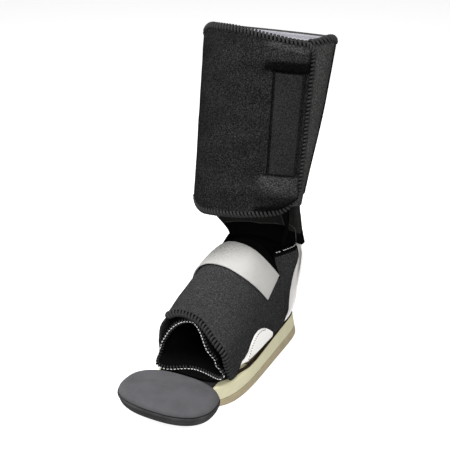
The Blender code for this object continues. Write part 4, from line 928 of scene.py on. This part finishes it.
def side_place(angle, y, out):
    """Point of the foot wrap, whose sides hang straight down below its widest line."""
    angle, y, out = np.broadcast_arrays(angle, y, out)
    point = foot_point(np.clip(angle, 0.0, 180.0), y, out)
    below = np.maximum(np.maximum(0.0, -angle), angle - 180.0) / SKIRT_ANGLE
    side = np.where(angle < 90.0, 1.0, -1.0)
    flare = 0.0045 * (1.0 - ease((y + 0.078) / 0.032)) * (angle < 90.0)
    point[..., 0] += (flare - side * 0.0015 * below) * below
    point[..., 2] -= below * (FOOT_CENTRE_Z - skirt_low(y))
    return point


def foot_flap_place(u, v, out):
    """Point of the foot flap."""
    y = mix(flap_front(mix(*FOOT_FLAP_ANGLES, u)), WRAP_HEEL_Y, v)
    return side_place(mix(FOOT_FLAP_ANGLES[0], wrap_end(y), u), y, out)


def foot_side_place(u, v, out):
    """Point of the side panel, which is thin where it meets the flap."""
    y = mix(wrap_front(mix(136.0, FOOT_SIDE_ANGLE, u)), WRAP_HEEL_Y, v)
    angle = mix(wrap_end(y) + 0.9, FOOT_SIDE_ANGLE, u)
    thin = 1.0 - 0.5 * np.maximum(0.0, 1.0 - (angle - wrap_end(y)) / 44.0)
    return side_place(angle, y, WRAP_LAYER[0] + thin * (out - WRAP_LAYER[0]))


def liner_front(angle):
    """Front edge of the liner, whose floor reaches forward in two lobes."""
    sine = np.sin(np.radians(angle))
    x = foot_point(angle, -0.08, 0.0)[..., 0]
    floor = ease((-sine - 0.35) / 0.4)
    lobes = 0.009 * np.cos(2.0 * math.pi * (x - 0.006) / 0.075)
    side = np.exp(-(((angle + 180.0) % 360.0 - 218.0) / 34.0) ** 2)
    return -0.068 - 0.020 * (0.5 - 0.5 * sine) + lobes * floor - 0.012 * side


def liner_point(angle, y, out):
    """Point of the liner: in front, its shoulders are drawn in and its floor spreads at the wearer's left."""
    point = foot_point(angle, y, out)
    turn = np.radians(angle)
    front = 1.0 - ease((y - liner_front(angle)) / 0.035)
    shoulder = np.abs(np.cos(turn)) ** 0.6 * ease((np.sin(turn) + 0.75) / 1.2) * front
    spread_out = ease((-np.sin(turn) - 0.1) / 0.5) * ease(point[..., 0] / 0.03) * front
    point[..., 0] += 0.0110 * spread_out - np.where(np.cos(turn) > 0.0, 0.0090, -0.0065) * shoulder
    point[..., 2] -= 0.0025 * shoulder
    return point


def liner_place(u, v, out):
    """Point of the liner at shares of its lengths."""
    return liner_point(360.0 * u, mix(liner_front(360.0 * u), WRAP_HEEL_Y, v), out)


def footplate_edge():
    """Front edge of the footplate from side to side, at half the height of its binding."""
    turn = np.linspace(0.0, QUARTER_TURN, 16)
    round_x = FOOTPLATE_HALF - FOOTPLATE_CORNER * (1.0 - np.cos(turn))
    round_y = FOOTPLATE_TOE_Y + FOOTPLATE_CORNER * (1.0 - np.sin(turn))
    x = np.concatenate(((FOOTPLATE_HALF,) * 2, round_x, (0.0,), -round_x[::-1], (-FOOTPLATE_HALF,) * 2))
    y = np.concatenate(((-0.048, -0.055), round_y, (FOOTPLATE_TOE_Y,), round_y[::-1], (-0.055, -0.048)))
    return stack(x + FOOT_SHIFT_X, y, 0.0336)


def cover_place(u, v, out):
    """Point of the black sheet in front on the footplate, u across it: it stands for the liner's drooping
    black fabric and for painted shade under it.
    """
    y = mix(-0.0855, -0.05, v)
    left = np.maximum(0.0, FOOTPLATE_TOE_Y + FOOTPLATE_CORNER - y)
    wide = FOOTPLATE_HALF - FOOTPLATE_CORNER + np.sqrt(FOOTPLATE_CORNER ** 2 - left ** 2)
    return stack(FOOT_SHIFT_X + wide * (2.0 * u - 1.0), y, FOOTPLATE_TOP + out)


class ORTHOSIS_OT_foot_wrap(bpy.types.Operator):
    """Liner, opening flap and side panel of the foot wrap"""
    bl_idname = "orthosis.foot_wrap"
    bl_label = "Foot wrap"

    def execute(self, context):
        sizes = context.scene.orthosis_sizes
        panel = cushion("foot_flap", foot_flap_place, (0.165, 0.135), WRAP_LAYER, "foot_pile", *BLACK_BACK,
                        rim=(0.0012, 0.0030, 0.0036, 0.0008), swell=sizes.swell, seed=21, step=0.002)
        # Painted shade: the foot flap's rear upper corner, in shade above the strap, takes the black finish.
        for face in panel.data.polygons:
            if face.center.y > FLAP_PAINTED_SHADE[0] and face.center.z > FLAP_PAINTED_SHADE[1]:
                face.material_index = 1
        declare(["foot_flap_panel", "foot_side_left"])
        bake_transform(panel)
        side = cushion("foot_side_panel", foot_side_place, (0.075, 0.130), WRAP_LAYER, "foot_pile",
                       rim=(0.0015, 0.0012, 0.0030, 0.0008), swell=sizes.swell, seed=22)
        dress(side, "boot", ["foot_side_right"])
        liner = cushion("liner_tube", liner_place, (0.250, 0.140), LINER_LAYER, "dull_black", rim=0.0026,
                        swell=0.0003, seed=23, wrap=True, step=0.0028)
        dress(liner, "boot", ["foot_liner"])

        angles = np.linspace(-46.0, 141.0, 300)
        line = stack(angles, flap_front(angles))
        frames = seam_frames(side_place, line, sum(WRAP_LAYER) / 2.0, sizes.edging_pitch)
        bent = frames[0][:, 2] < FOLD_Z
        for name, body, part in (("foot_flap", "foot_flap", ~bent), ("foot_side", "boot", bent)):
            chosen = [values[part] for values in frames]
            dress(edging(name + "_edging", chosen, 0.0021, sizes), body)

        binding = tubes("footplate_binding", footplate_edge()[None], 0.0023, "dull_black", sides=10)
        dress(binding, "boot")
        # Black sheet over the footplate's front: drooping liner fabric and painted shade.
        cover = cushion("footplate_cover", cover_place, (0.085, 0.036), (0.0001, 0.0008), "dull_black",
                        rim=0.0004)
        dress(cover, "boot")

        around = np.linspace(0.0, 360.0, 400, endpoint=False)
        line = stack(around, liner_front(around))
        middle = sum(LINER_LAYER) / 2.0
        frames = seam_frames(liner_point, line, middle, 0.0036, closed=True)
        dress(overlock("liner_edging", frames, 0.0017, 0.003, 0.0007, 0.0009), "boot")
        frames = seam_frames(liner_point, line, middle, 0.0039, closed=True)
        dress(dashes("liner_stitching", frames, 0.0002, -0.0011, sizes), "boot")
        return {"FINISHED"}


STRAP_ANGLES = (25.0, 164.0)
STRAP_TOP_ANGLE = 75.0
STRAP_TOP_Y = 0.016
STRAP_SWEEP = 0.0195
STRAP_HALF = 0.0225
STRAP_SKEW = 5.0


def strap_place(u, v, out):
    """Point of the instep strap, u from its square-cut end and v across it."""
    across = 2.0 * v - 1.0
    angle = mix(*STRAP_ANGLES, u) + STRAP_SKEW * across * (1.0 - u)
    off = angle - STRAP_TOP_ANGLE
    span = np.where(off < 0.0, STRAP_TOP_ANGLE - STRAP_ANGLES[0], STRAP_ANGLES[1] - STRAP_TOP_ANGLE)
    return foot_point(angle, STRAP_TOP_Y + STRAP_SWEEP * (off / span) ** 2 + STRAP_HALF * across, out)


class ORTHOSIS_OT_instep_strap(bpy.types.Operator):
    """Pale hook strap over the instep"""
    bl_idname = "orthosis.instep_strap"
    bl_label = "Instep strap"

    def execute(self, context):
        strap = cushion("strap_band", strap_place, (0.135, 0.045), STRAP_LAYER, "strap_webbing", rim=0.0007,
                        swell=0.00025, seed=31, step=0.0025)
        dress(strap, "strap", ["instep_strap"])
        return {"FINISHED"}


# Heel and ankle

HEEL_Y = 0.1063              # inner face of the shell behind the heel
HEEL_BOW = 0.027
HEEL_BULGE = 0.008
CUFF_FOOT_Z = 0.1811         # where the shell's heel meets the cuff
COLLAR_HALF = FOOT_HALF + WRAP_LAYER[1]
COLLAR_THICK = 0.0048
COLLAR_FRONT_Y = 0.0606
COLLAR_CENTRE_Y = 0.068
COLLAR_STRAIGHT = 0.08       # share of the collar that runs straight along each side
COLLAR_ROUND = 5.0
COLLAR_HEEL_Z = 0.121
ANKLE_THICK = 0.005
ANKLE_FACE = -0.0014         # front of the pad's hem and upper band
HEM_TOP_Z = 0.1454           # where the ankle pad's hem runs on to the sleeve round the upright
HEM_SIDE_X = 0.0403
HEM_ROUND = 0.006
SLEEVE_FRONT = 0.0038        # front of the sleeve, ahead of the shell's inner face
SLEEVE_BLACK = (0.030, 0.137)  # below this x or this z the sleeve is black


def collar_top(x, y):
    """Upper edge of the heel collar, level behind the heel."""
    share = np.minimum(1.0, (y - COLLAR_FRONT_Y) / (0.094 - COLLAR_FRONT_Y))
    return mix(np.where(x > 0.0, 0.128, 0.116), COLLAR_HEEL_Z + 0.002, share)


def heel_share(z):
    """Share of the way up the shell's stretch behind the heel."""
    low = FOOTPLATE_TOP + HEEL_BOW
    return np.clip((z - low) / (CUFF_FOOT_Z - low), 0.0, 1.0)


def heel_bulge(z):
    """How far the heel stands back at a height."""
    return HEEL_BULGE * np.sin(math.pi * heel_share(z)) ** 2


def shell_half(z):
    """Half width of the shell behind the heel."""
    off = heel_share(z) - 0.36
    wide = np.exp(-(off / np.where(off > 0.0, 0.15, 0.25)) ** 2)
    return mix(mix(FOOTPLATE_HALF, 0.040, heel_share(z)), 0.051, wide)


def shell_face(x, z):
    """Inner face of the shell behind the heel."""
    wide, deep = CALF_HALF[0] + FLAP_LAYER[0], CALF_DEPTH[0] + FLAP_LAYER[0]
    sag = deep * (1.0 - np.sqrt(1.0 - np.minimum(1.0, np.abs(x) / wide) ** 2))
    return HEEL_Y + heel_bulge(z) - sag * ease(heel_share(z))


def collar_plan(u, out):
    """Plan of the collar, from the wearer's left front round the heel to the right front."""
    half = COLLAR_HALF - COLLAR_THICK + out
    deep = HEEL_Y - 0.0004 - COLLAR_CENTRE_Y - COLLAR_THICK + out
    turn = math.pi * np.clip((u - COLLAR_STRAIGHT) / (1.0 - 2.0 * COLLAR_STRAIGHT), 0.0, 1.0)
    straight = np.clip(np.minimum(u, 1.0 - u) / COLLAR_STRAIGHT, 0.0, 1.0)
    across, along = (signed_power(part(turn), 2.0 / COLLAR_ROUND) for part in (np.cos, np.sin))
    return FOOT_SHIFT_X + half * across, mix(COLLAR_FRONT_Y, COLLAR_CENTRE_Y, straight) + deep * along


def collar_side(y, z):
    """Half width of the collar: it leans in over the instep and runs back to the shell's edges."""
    front = COLLAR_HALF - 0.0115 * ease((z - FOOT_CENTRE_Z) / 0.077)
    rise = (z - FOOTPLATE_TOP) / (COLLAR_HEEL_Z - FOOTPLATE_TOP)
    back = shell_half(z) + mix(-0.007, 0.003, rise)
    return mix(front, back, (y - COLLAR_FRONT_Y) / (HEEL_Y - COLLAR_FRONT_Y))


def collar_place(u, v, out):
    """Point of the heel collar, v upwards."""
    x, y = collar_plan(u, out)
    outer_x, outer_y = collar_plan(u, COLLAR_THICK)
    past = np.clip(outer_y - HEEL_Y + HEEL_BOW, 0.0, HEEL_BOW)
    bow = FOOTPLATE_TOP + HEEL_BOW - np.sqrt(HEEL_BOW ** 2 - past ** 2)
    low = bow + 0.0010 - 0.0028 * (1.0 - ease((outer_y - 0.066) / 0.012))
    z = mix(low, collar_top(outer_x, outer_y), v)
    wide = (collar_side(outer_y, z) - COLLAR_THICK + out) / (COLLAR_HALF - COLLAR_THICK + out)
    x = FOOT_SHIFT_X + (x - FOOT_SHIFT_X) * wide
    belly = heel_bulge(z) * np.maximum(0.0, y - COLLAR_CENTRE_Y) / (HEEL_Y - COLLAR_CENTRE_Y)
    behind = shell_face(x, z) - 0.0014 - COLLAR_THICK + out
    return stack(x, np.minimum(y + belly, behind), z)


def ankle_place(u, v, out):
    """Point of the pad in the open ankle gap, v upwards."""
    reach = mix(48.0, 104.0, ease(v))
    turn = np.radians(mix(-reach, reach, u))
    x = -0.004 + (0.046 + out) * np.sin(turn)
    y = HEEL_Y - 0.0448 + (0.036 + out) * np.cos(turn)
    low = np.maximum(collar_top(x, y), COLLAR_HEEL_Z) + 0.0006
    under = LEG_BASE[2] - (0.0006 + (y - LEG_BASE[1]) * LEG_UP[1]) / LEG_UP[2]
    return stack(x, y, mix(low, under, v))


def hem_share(u):
    """How far up the ankle pad its hem runs."""
    return 0.34 + 0.40 * np.maximum(0.0, u - 0.5)


def band_place(u, v, out):
    """Point of the ankle pad's upper band, above its hem."""
    return ankle_place(u, mix(hem_share(u), 0.90, v), out)


def hem_corner():
    """Hem of the ankle pad on the sleeve: it runs out to the side and turns down."""
    turn = np.linspace(0.0, QUARTER_TURN, 8)
    round_x = HEM_SIDE_X - HEM_ROUND * (1.0 - np.sin(turn))
    round_z = HEM_TOP_Z - HEM_ROUND * (1.0 - np.cos(turn))
    x = np.concatenate(((HEM_SIDE_X - 0.0105,), round_x, (HEM_SIDE_X,) * 3))
    z = np.concatenate(((HEM_TOP_Z,), round_z, (0.134, 0.129, 0.1224)))
    return stack(x, shell_face(x, z) - SLEEVE_FRONT, z)


def soft_copy(name, node, voxel, passes, *finishes):
    """Closed copy of a thin fabric solid, remeshed and rounded off."""
    obj = link(name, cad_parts[node].data.copy())
    remesh = obj.modifiers.new("remesh", "REMESH")
    remesh.mode = "VOXEL"
    remesh.voxel_size = voxel
    obj.modifiers.new("smooth", "SMOOTH").iterations = passes
    mesh = bpy.data.meshes.new_from_object(obj.evaluated_get(bpy.context.evaluated_depsgraph_get()))
    obj.modifiers.clear()
    obj.data = mesh
    mesh.name = name
    shade_smooth(mesh)
    mesh.materials.clear()
    for title in finishes:
        mesh.materials.append(finish(title))
    return obj


class ORTHOSIS_OT_heel_and_ankle(bpy.types.Operator):
    """Heel collar, ankle pad and the sleeve round the upright"""
    bl_idname = "orthosis.heel_and_ankle"
    bl_label = "Heel and ankle"

    def execute(self, context):
        sizes = context.scene.orthosis_sizes
        collar = cushion("heel_collar_pad", collar_place, (0.150, 0.090), (0.0, COLLAR_THICK), "foot_pile",
                         *BLACK_BACK, rim=(0.0006, 0.0006, 0.0016, 0.0060), swell=sizes.swell, seed=41,
                         step=0.0025)
        dress(collar, "boot", ["heel_collar"])
        line = stack(np.linspace(0.0, 0.24, 60), 1.0)
        frames = seam_frames(collar_place, line, COLLAR_THICK / 2.0, sizes.edging_pitch)
        dress(dashes("collar_stitching", frames, 0.0022, 0.0008, sizes), "boot")

        # The ankle pad is black fabric made as black as deep shade: painted shade inside the ankle gap.
        ankle = cushion("ankle_cushion", ankle_place, (0.140, 0.055), (0.0, ANKLE_THICK), "dull_black",
                        swell=sizes.swell, seed=42, step=0.0025)
        dress(ankle, "boot", ["ankle_pad"])
        band = cushion("ankle_band", band_place, (0.130, 0.022), (ANKLE_FACE, 0.0004), "sleeve_pile",
                       rim=0.0009, step=0.0025)
        dress(band, "boot")
        sleeve = soft_copy("sleeve_cover", "upright_sleeve", 0.0009, 6, "sleeve_pile", "dull_black")
        for face in sleeve.data.polygons:
            face.material_index = face.center.x < SLEEVE_BLACK[0] or face.center.z < SLEEVE_BLACK[1]
        dress(sleeve, "boot", ["upright_sleeve"])
        across = np.linspace(0.02, 0.86, 60)
        path = np.concatenate((ankle_place(across, hem_share(across), ANKLE_FACE), hem_corner()))
        dress(tubes("ankle_hem", path[None], 0.00055, "hem_thread", sides=8), "boot")
        return {"FINISHED"}


# Sole and toe pad

SOLE_Y = (-0.099, 0.1175)
SOLE_MIDDLE_Y = sum(SOLE_Y) / 2.0
SOLE_REACH = (SOLE_Y[1] - SOLE_Y[0]) / 2.0
SOLE_TOP = 0.0275
OUTSOLE_TOP = 0.0100
SPRINGS = ((0.005, -0.055, -0.044), (0.004, 0.098, 0.0195))  # rise, first y and length of both ends
TOE_Y = -0.1275
TOE_HALF = 0.056
TOE_HALF_LENGTH = 0.0355
TOE_ROUND = 2.5
TOE_SIDES = 144
TOE_EDGE = 0.972             # share of its plan where a cover turns in to the plate
TOE_TOP_Z = (0.0315, 0.0078)  # edge of the upper cover and its crown
TOE_UNDER_Z = (0.0275, 0.0085)  # edge of the lower cover and its depth
TOE_PIPING_Z = 0.0288


def sole_half(y, z):
    """Half width of the walking sole."""
    share = (y - SOLE_Y[0]) / (SOLE_Y[1] - SOLE_Y[0])
    low = mix(0.053, 0.0475, ease(share))
    power = np.where(y < SOLE_MIDDLE_Y, 3.2, 7.0)
    end = np.maximum(0.0, 1.0 - np.abs((y - SOLE_MIDDLE_Y) / SOLE_REACH) ** power) ** (1.0 / power)
    return mix(low, low - 0.006 * ease(share), z / SOLE_TOP) * end


def edge_levels(low, high, round_low, round_high):
    """Levels (height, inset) of a slab's side, rounded below and above."""
    turn = np.linspace(0.0, QUARTER_TURN, 5)
    rise, inset = 1.0 - np.sin(turn), 1.0 - np.cos(turn)
    straight = np.linspace(low + round_low, high - round_high, 5)[1:-1]
    heights = np.concatenate(((low + round_low * rise)[::-1], straight, high - round_high * rise))
    return stack(heights, np.concatenate(((round_low * inset)[::-1], np.zeros(3), round_high * inset)))


def sole_slab(name, levels, title):
    """Layer of the sole: rings of its plan at each level, closed above and below."""
    last = 0.97 * QUARTER_TURN
    y = SOLE_MIDDLE_Y + SOLE_REACH * np.sin(np.linspace(-last, last, 120))
    spring = sum(rise * np.clip((y - first) / length, 0.0, 1.0) ** 2 for rise, first, length in SPRINGS)
    rings = []
    for height, inset in levels:
        z = height + spring * max(0.0, 1.0 - height / OUTSOLE_TOP)
        side = stack(sole_half(y, height) - inset, y, z)
        rings.append(np.concatenate((side, (side * (-1.0, 1.0, 1.0))[::-1])))
    index = grid_numbers(2 * len(y), len(levels))
    faces = [quads(index, True)]
    for ring in (index[:, 0], index[:, -1]):
        faces.append(quads(np.stack((ring, ring[::-1]), 1)[:len(y)], False))
    return mesh_object(name, np.stack(rings, 1), np.concatenate(faces).tolist(), (title,))


class ORTHOSIS_OT_sole(bpy.types.Operator):
    """Outsole and midsole"""
    bl_idname = "orthosis.sole"
    bl_label = "Sole"

    def execute(self, context):
        levels = edge_levels(0.0, OUTSOLE_TOP, 0.0014, 0.0012)
        dress(sole_slab("outsole_rubber", levels, "tan_outsole"), "boot", ["outsole"])
        levels = edge_levels(OUTSOLE_TOP + 0.0004, SOLE_TOP, 0.0012, 0.0028)
        dress(sole_slab("midsole_foam", levels, "cream_midsole"), "boot", ["midsole"])
        return {"FINISHED"}


def toe_outline(share, turn):
    """Plan of the toe pad at a share of its size."""
    across, along = (signed_power(part(turn), 2.0 / TOE_ROUND) for part in (np.cos, np.sin))
    return TOE_HALF * share * across, TOE_Y + TOE_HALF_LENGTH * share * along


def toe_cushion(name, profile, *finishes, rear=math.inf, seed=51, lower=0):
    """Crowned cover of the toe pad from (share of the plan, height) pairs, closed at both ends.

    It is cut off straight at the y of its rear, and its first rows of faces, lower of them, take the second
    finish.
    """
    turn = 2.0 * math.pi * (np.arange(TOE_SIDES) + 0.5) / TOE_SIDES
    rings = []
    for share, height in profile:
        x, y = toe_outline(share, turn)
        y = np.minimum(y, rear - (1.0 - share) * TOE_HALF_LENGTH)
        rings.append(stack(x, y, height + 0.0003 * ripple(x, y, 0.05, seed) * (1.0 - share)))
    index = grid_numbers(TOE_SIDES, len(profile))
    faces = quads(index, True).tolist() + [index[:, 0].tolist(), index[::-1, -1].tolist()]
    rows = [1] * lower + [0] * (len(profile) - 1 - lower)
    return mesh_object(name, np.stack(rings, 1), faces, finishes, rows * TOE_SIDES + [min(lower, 1), 0])


class ORTHOSIS_OT_toe_pad(bpy.types.Operator):
    """Upholstered toe pad"""
    bl_idname = "orthosis.toe_pad"
    bl_label = "Toe pad"

    def execute(self, context):
        turn = np.linspace(0.0, QUARTER_TURN, 12)
        low, crown = TOE_TOP_Z
        profile = [(TOE_EDGE, low)]
        profile += [(1.0 - 0.16 * (1.0 - math.cos(t)), low + crown * 0.72 * math.sin(t)) for t in turn]
        for share in np.linspace(0.80, 0.04, 16):
            profile.append((share, low + crown * (0.72 + 0.28 * (1.0 - (share / 0.84) ** 2))))
        top = toe_cushion("toe_cover_top", profile, "grey_upholstery", "dark_upholstery", lower=1)
        dress(top, "toe_guard", ["toe_pad_top"])
        high, deep = TOE_UNDER_Z
        profile = [(TOE_EDGE, high)]
        profile += [(1.0 - 0.10 * (1.0 - math.cos(t)), high - deep * math.sin(t)) for t in turn]
        profile += [(share, high - deep) for share in np.linspace(0.85, 0.05, 6)]
        under = toe_cushion("toe_cover_under", profile, "dark_upholstery", rear=SOLE_Y[0] - 0.0025, seed=52)
        dress(under, "toe_guard", ["toe_pad_under"])
        path = stack(*toe_outline(0.992, 2.0 * math.pi * np.arange(161) / 160), TOE_PIPING_Z)
        piping = tubes("toe_pad_piping", path[None], 0.0017, "dark_upholstery", sides=8, taper=1.0)
        dress(piping, "toe_guard")
        return {"FINISHED"}


# Plastic shell, pads and fittings

WING_TOP_Y = -0.011
WING_REACH_Y = (-0.042, 0.033)
WING_RISE = 0.0288
WING_FACE = FOOT_HALF + WRAP_LAYER[1] + FOOT_SHIFT_X + 0.0036
STITCH_INSET = 0.0036        # from the wing's edge
STITCH_PITCH = 0.0031
ATTACHMENT_Z = 0.0290
PAINTED = {
    "white_plastic": ("plastic_shell",),
    "brown_loop_pad": ("sole_hook_pad", "sole_loop_pad"),
    "black_hook_tape": ("cuff_flap_hook_tape", "foot_flap_hook_tape", "strap_anchor_pad", "strap_hook_pad",
                        "upright_hook_pad_low", "upright_hook_pad_high"),
    "dark_plate": ("toe_plate",),
    "zinc_steel": ("toe_screw_left", "toe_screw_right", "toe_nut_left", "toe_nut_right"),
}


def paint(node, title):
    """Gives a carried-over solid its finish and smooth shading, kept sharp at its real edges."""
    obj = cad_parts[node]
    obj.modifiers.new("weld", "WELD").merge_threshold = 1e-5
    obj.modifiers.new("split", "EDGE_SPLIT").split_angle = math.radians(35.0)
    shade_smooth(obj.data)
    obj.data.materials.clear()
    obj.data.materials.append(finish(title))


def wing_stitches():
    """Short paths of the stitches along the upper edge of the left side wing."""
    y = np.arange(-0.0395, 0.006, 0.0012)
    end = np.where(y < WING_TOP_Y, *WING_REACH_Y)
    rise = WING_RISE * (1.0 - ((y - WING_TOP_Y) / (end - WING_TOP_Y)) ** 2) - STITCH_INSET
    run = run_along(stack(y, rise))
    at = np.arange(0.002, run[-1], STITCH_PITCH)[:, None] + np.array((-0.0006, 0.0, 0.0006))
    return stack(WING_FACE, np.interp(at, run, y), FOOTPLATE_TOP + np.interp(at, run, rise))


def attachment_paths():
    """Edge of the pads between sole and shell, at both sides."""
    y = np.linspace(-0.066, 0.106, 80)
    x = np.minimum(sole_half(y, SOLE_TOP) - 0.0012, 0.0480 - 0.0045 * ease((-0.030 - y) / 0.025))
    return np.stack([stack(side * x, y, ATTACHMENT_Z) for side in (1.0, -1.0)])


class ORTHOSIS_OT_shell_and_fittings(bpy.types.Operator):
    """Finishes of the plastic shell, the hook and loop pads, the toe plate and its screws"""
    bl_idname = "orthosis.shell_and_fittings"
    bl_label = "Shell and fittings"

    def execute(self, context):
        for title, nodes in PAINTED.items():
            for node in nodes:
                paint(node, title)
        dress(tubes("wing_stitching", wing_stitches(), 0.0005, "dull_black"), "boot")
        line = tubes("attachment_edge", attachment_paths(), 0.0018, "attachment_pile", sides=10)
        dress(line, "boot")
        return {"FINISHED"}


# Stage

FLOOR_REACH = 40.0
LAMP_AIM = (0.0, 0.0, 0.15)


def seen_directly(tree):
    """1 for rays from the camera, from mirror-like surfaces and through clear ones, else 0."""
    rays = add(tree, "LightPath", {}).outputs
    shiny = reckon(tree, "MAXIMUM", rays["Is Camera Ray"], rays["Is Glossy Ray"])
    return reckon(tree, "MAXIMUM", shiny, rays["Is Transmission Ray"])


def area_light(name, size, power, place, aim):
    """Soft square lamp at a place, turned to a point."""
    lamp = bpy.data.lights.new(name, "AREA")
    lamp.shape = "SQUARE"
    lamp.size = size
    lamp.energy = power
    stand(link(name, lamp), Vector(place), Vector(aim))


def stand(obj, place, aim):
    """Puts a lamp or a camera at a place and turns it to a point."""
    obj.location = place
    obj.rotation_euler = (aim - place).to_track_quat("-Z", "Y").to_euler()


class ORTHOSIS_OT_stage(bpy.types.Operator):
    """Pale floor, even light, soft lamps and the camera"""
    bl_idname = "orthosis.stage"
    bl_label = "Stage"

    def execute(self, context):
        scene, settings = context.scene, context.scene.orthosis_stage
        scene.view_settings.view_transform = "Standard"
        scene.world = bpy.data.worlds.new("studio")
        scene.world.use_nodes = True
        tree = scene.world.node_tree
        strength = spread(tree, seen_directly(tree), 0.0, 1.0, settings.world_light, 1.0)
        feed(tree, tree.nodes["Background"], {"Color": WHITE, "Strength": strength})

        material, tree, shader = new_material("studio_floor", {
            "Base Color": (0.55, 0.55, 0.55, 1.0), "Roughness": 1.0, "Specular IOR Level": 0.0,
            "Emission Color": WHITE})
        feed(tree, shader, {"Emission Strength": reckon(tree, "MULTIPLY", seen_directly(tree), 0.80)})
        corners = FLOOR_REACH * stack((-1.0, 1.0, 1.0, -1.0), (-1.0, -1.0, 1.0, 1.0), 0.0)
        floor = mesh_object("floor", corners, [(0, 1, 2, 3)], ())
        floor.data.materials.append(material)
        floor.location.z = CAD_BOUNDS[0][2] - 0.0005

        aim = Vector((0.0, 0.0, settings.aim_height))
        flat = settings.distance * math.cos(settings.elevation)
        away = Vector((flat * math.sin(settings.azimuth), -flat * math.cos(settings.azimuth),
                       settings.distance * math.sin(settings.elevation)))
        camera = bpy.data.cameras.new("photo_camera")
        camera.lens = settings.lens
        camera.clip_start = 0.01
        scene.camera = link("photo_camera", camera)
        stand(scene.camera, aim + away, aim)

        area_light("top_lamp", 1.2, settings.top_light, (-0.25, -0.25, 1.5), LAMP_AIM)
        area_light("side_lamp", 0.9, settings.side_light, (0.92, -1.03, 0.9), LAMP_AIM)
        area_light("left_lamp", 0.8, settings.left_light, (-1.1, -0.35, 0.55), (0.0, 0.0, 0.2))
        return {"FINISHED"}


OPERATORS = (
    ORTHOSIS_OT_stage, ORTHOSIS_OT_calf_flap, ORTHOSIS_OT_calf_cuff, ORTHOSIS_OT_foot_wrap,
    ORTHOSIS_OT_instep_strap, ORTHOSIS_OT_heel_and_ankle, ORTHOSIS_OT_sole, ORTHOSIS_OT_toe_pad,
    ORTHOSIS_OT_shell_and_fittings,
)
SETTINGS = {
    "orthosis_sizes": OrthosisSizes, "orthosis_colours": OrthosisColours, "orthosis_stage": OrthosisStage,
}


class ORTHOSIS_PT_panel(bpy.types.Panel):
    """Steps and settings of the orthosis"""
    bl_idname = "ORTHOSIS_PT_panel"
    bl_label = "Ankle Foot Orthosis"
    bl_space_type = "VIEW_3D"
    bl_region_type = "UI"
    bl_category = "Orthosis"

    def draw(self, context):
        for operator in OPERATORS:
            self.layout.operator(operator.bl_idname)
        for name, kind in SETTINGS.items():
            box = self.layout.box()
            for key in kind.__annotations__:
                box.prop(getattr(context.scene, name), key)


def register():
    """Registers the settings, the steps and the panel."""
    for name, kind in SETTINGS.items():
        bpy.utils.register_class(kind)
        setattr(bpy.types.Scene, name, PointerProperty(type=kind))
    for kind in OPERATORS + (ORTHOSIS_PT_panel,):
        bpy.utils.register_class(kind)


def unregister():
    """Takes back what register did."""
    for kind in (ORTHOSIS_PT_panel,) + OPERATORS[::-1]:
        bpy.utils.unregister_class(kind)
    for name, kind in SETTINGS.items():
        delattr(bpy.types.Scene, name)
        bpy.utils.unregister_class(kind)


def main():
    """Builds every piece in order."""
    register()
    steps = bpy.ops.orthosis
    steps.stage()
    steps.calf_flap()
    steps.calf_cuff()
    steps.foot_wrap()
    steps.instep_strap()
    steps.heel_and_ankle()
    steps.sole()
    steps.toe_pad()
    steps.shell_and_fittings()


if __name__ == "__main__":
    main()
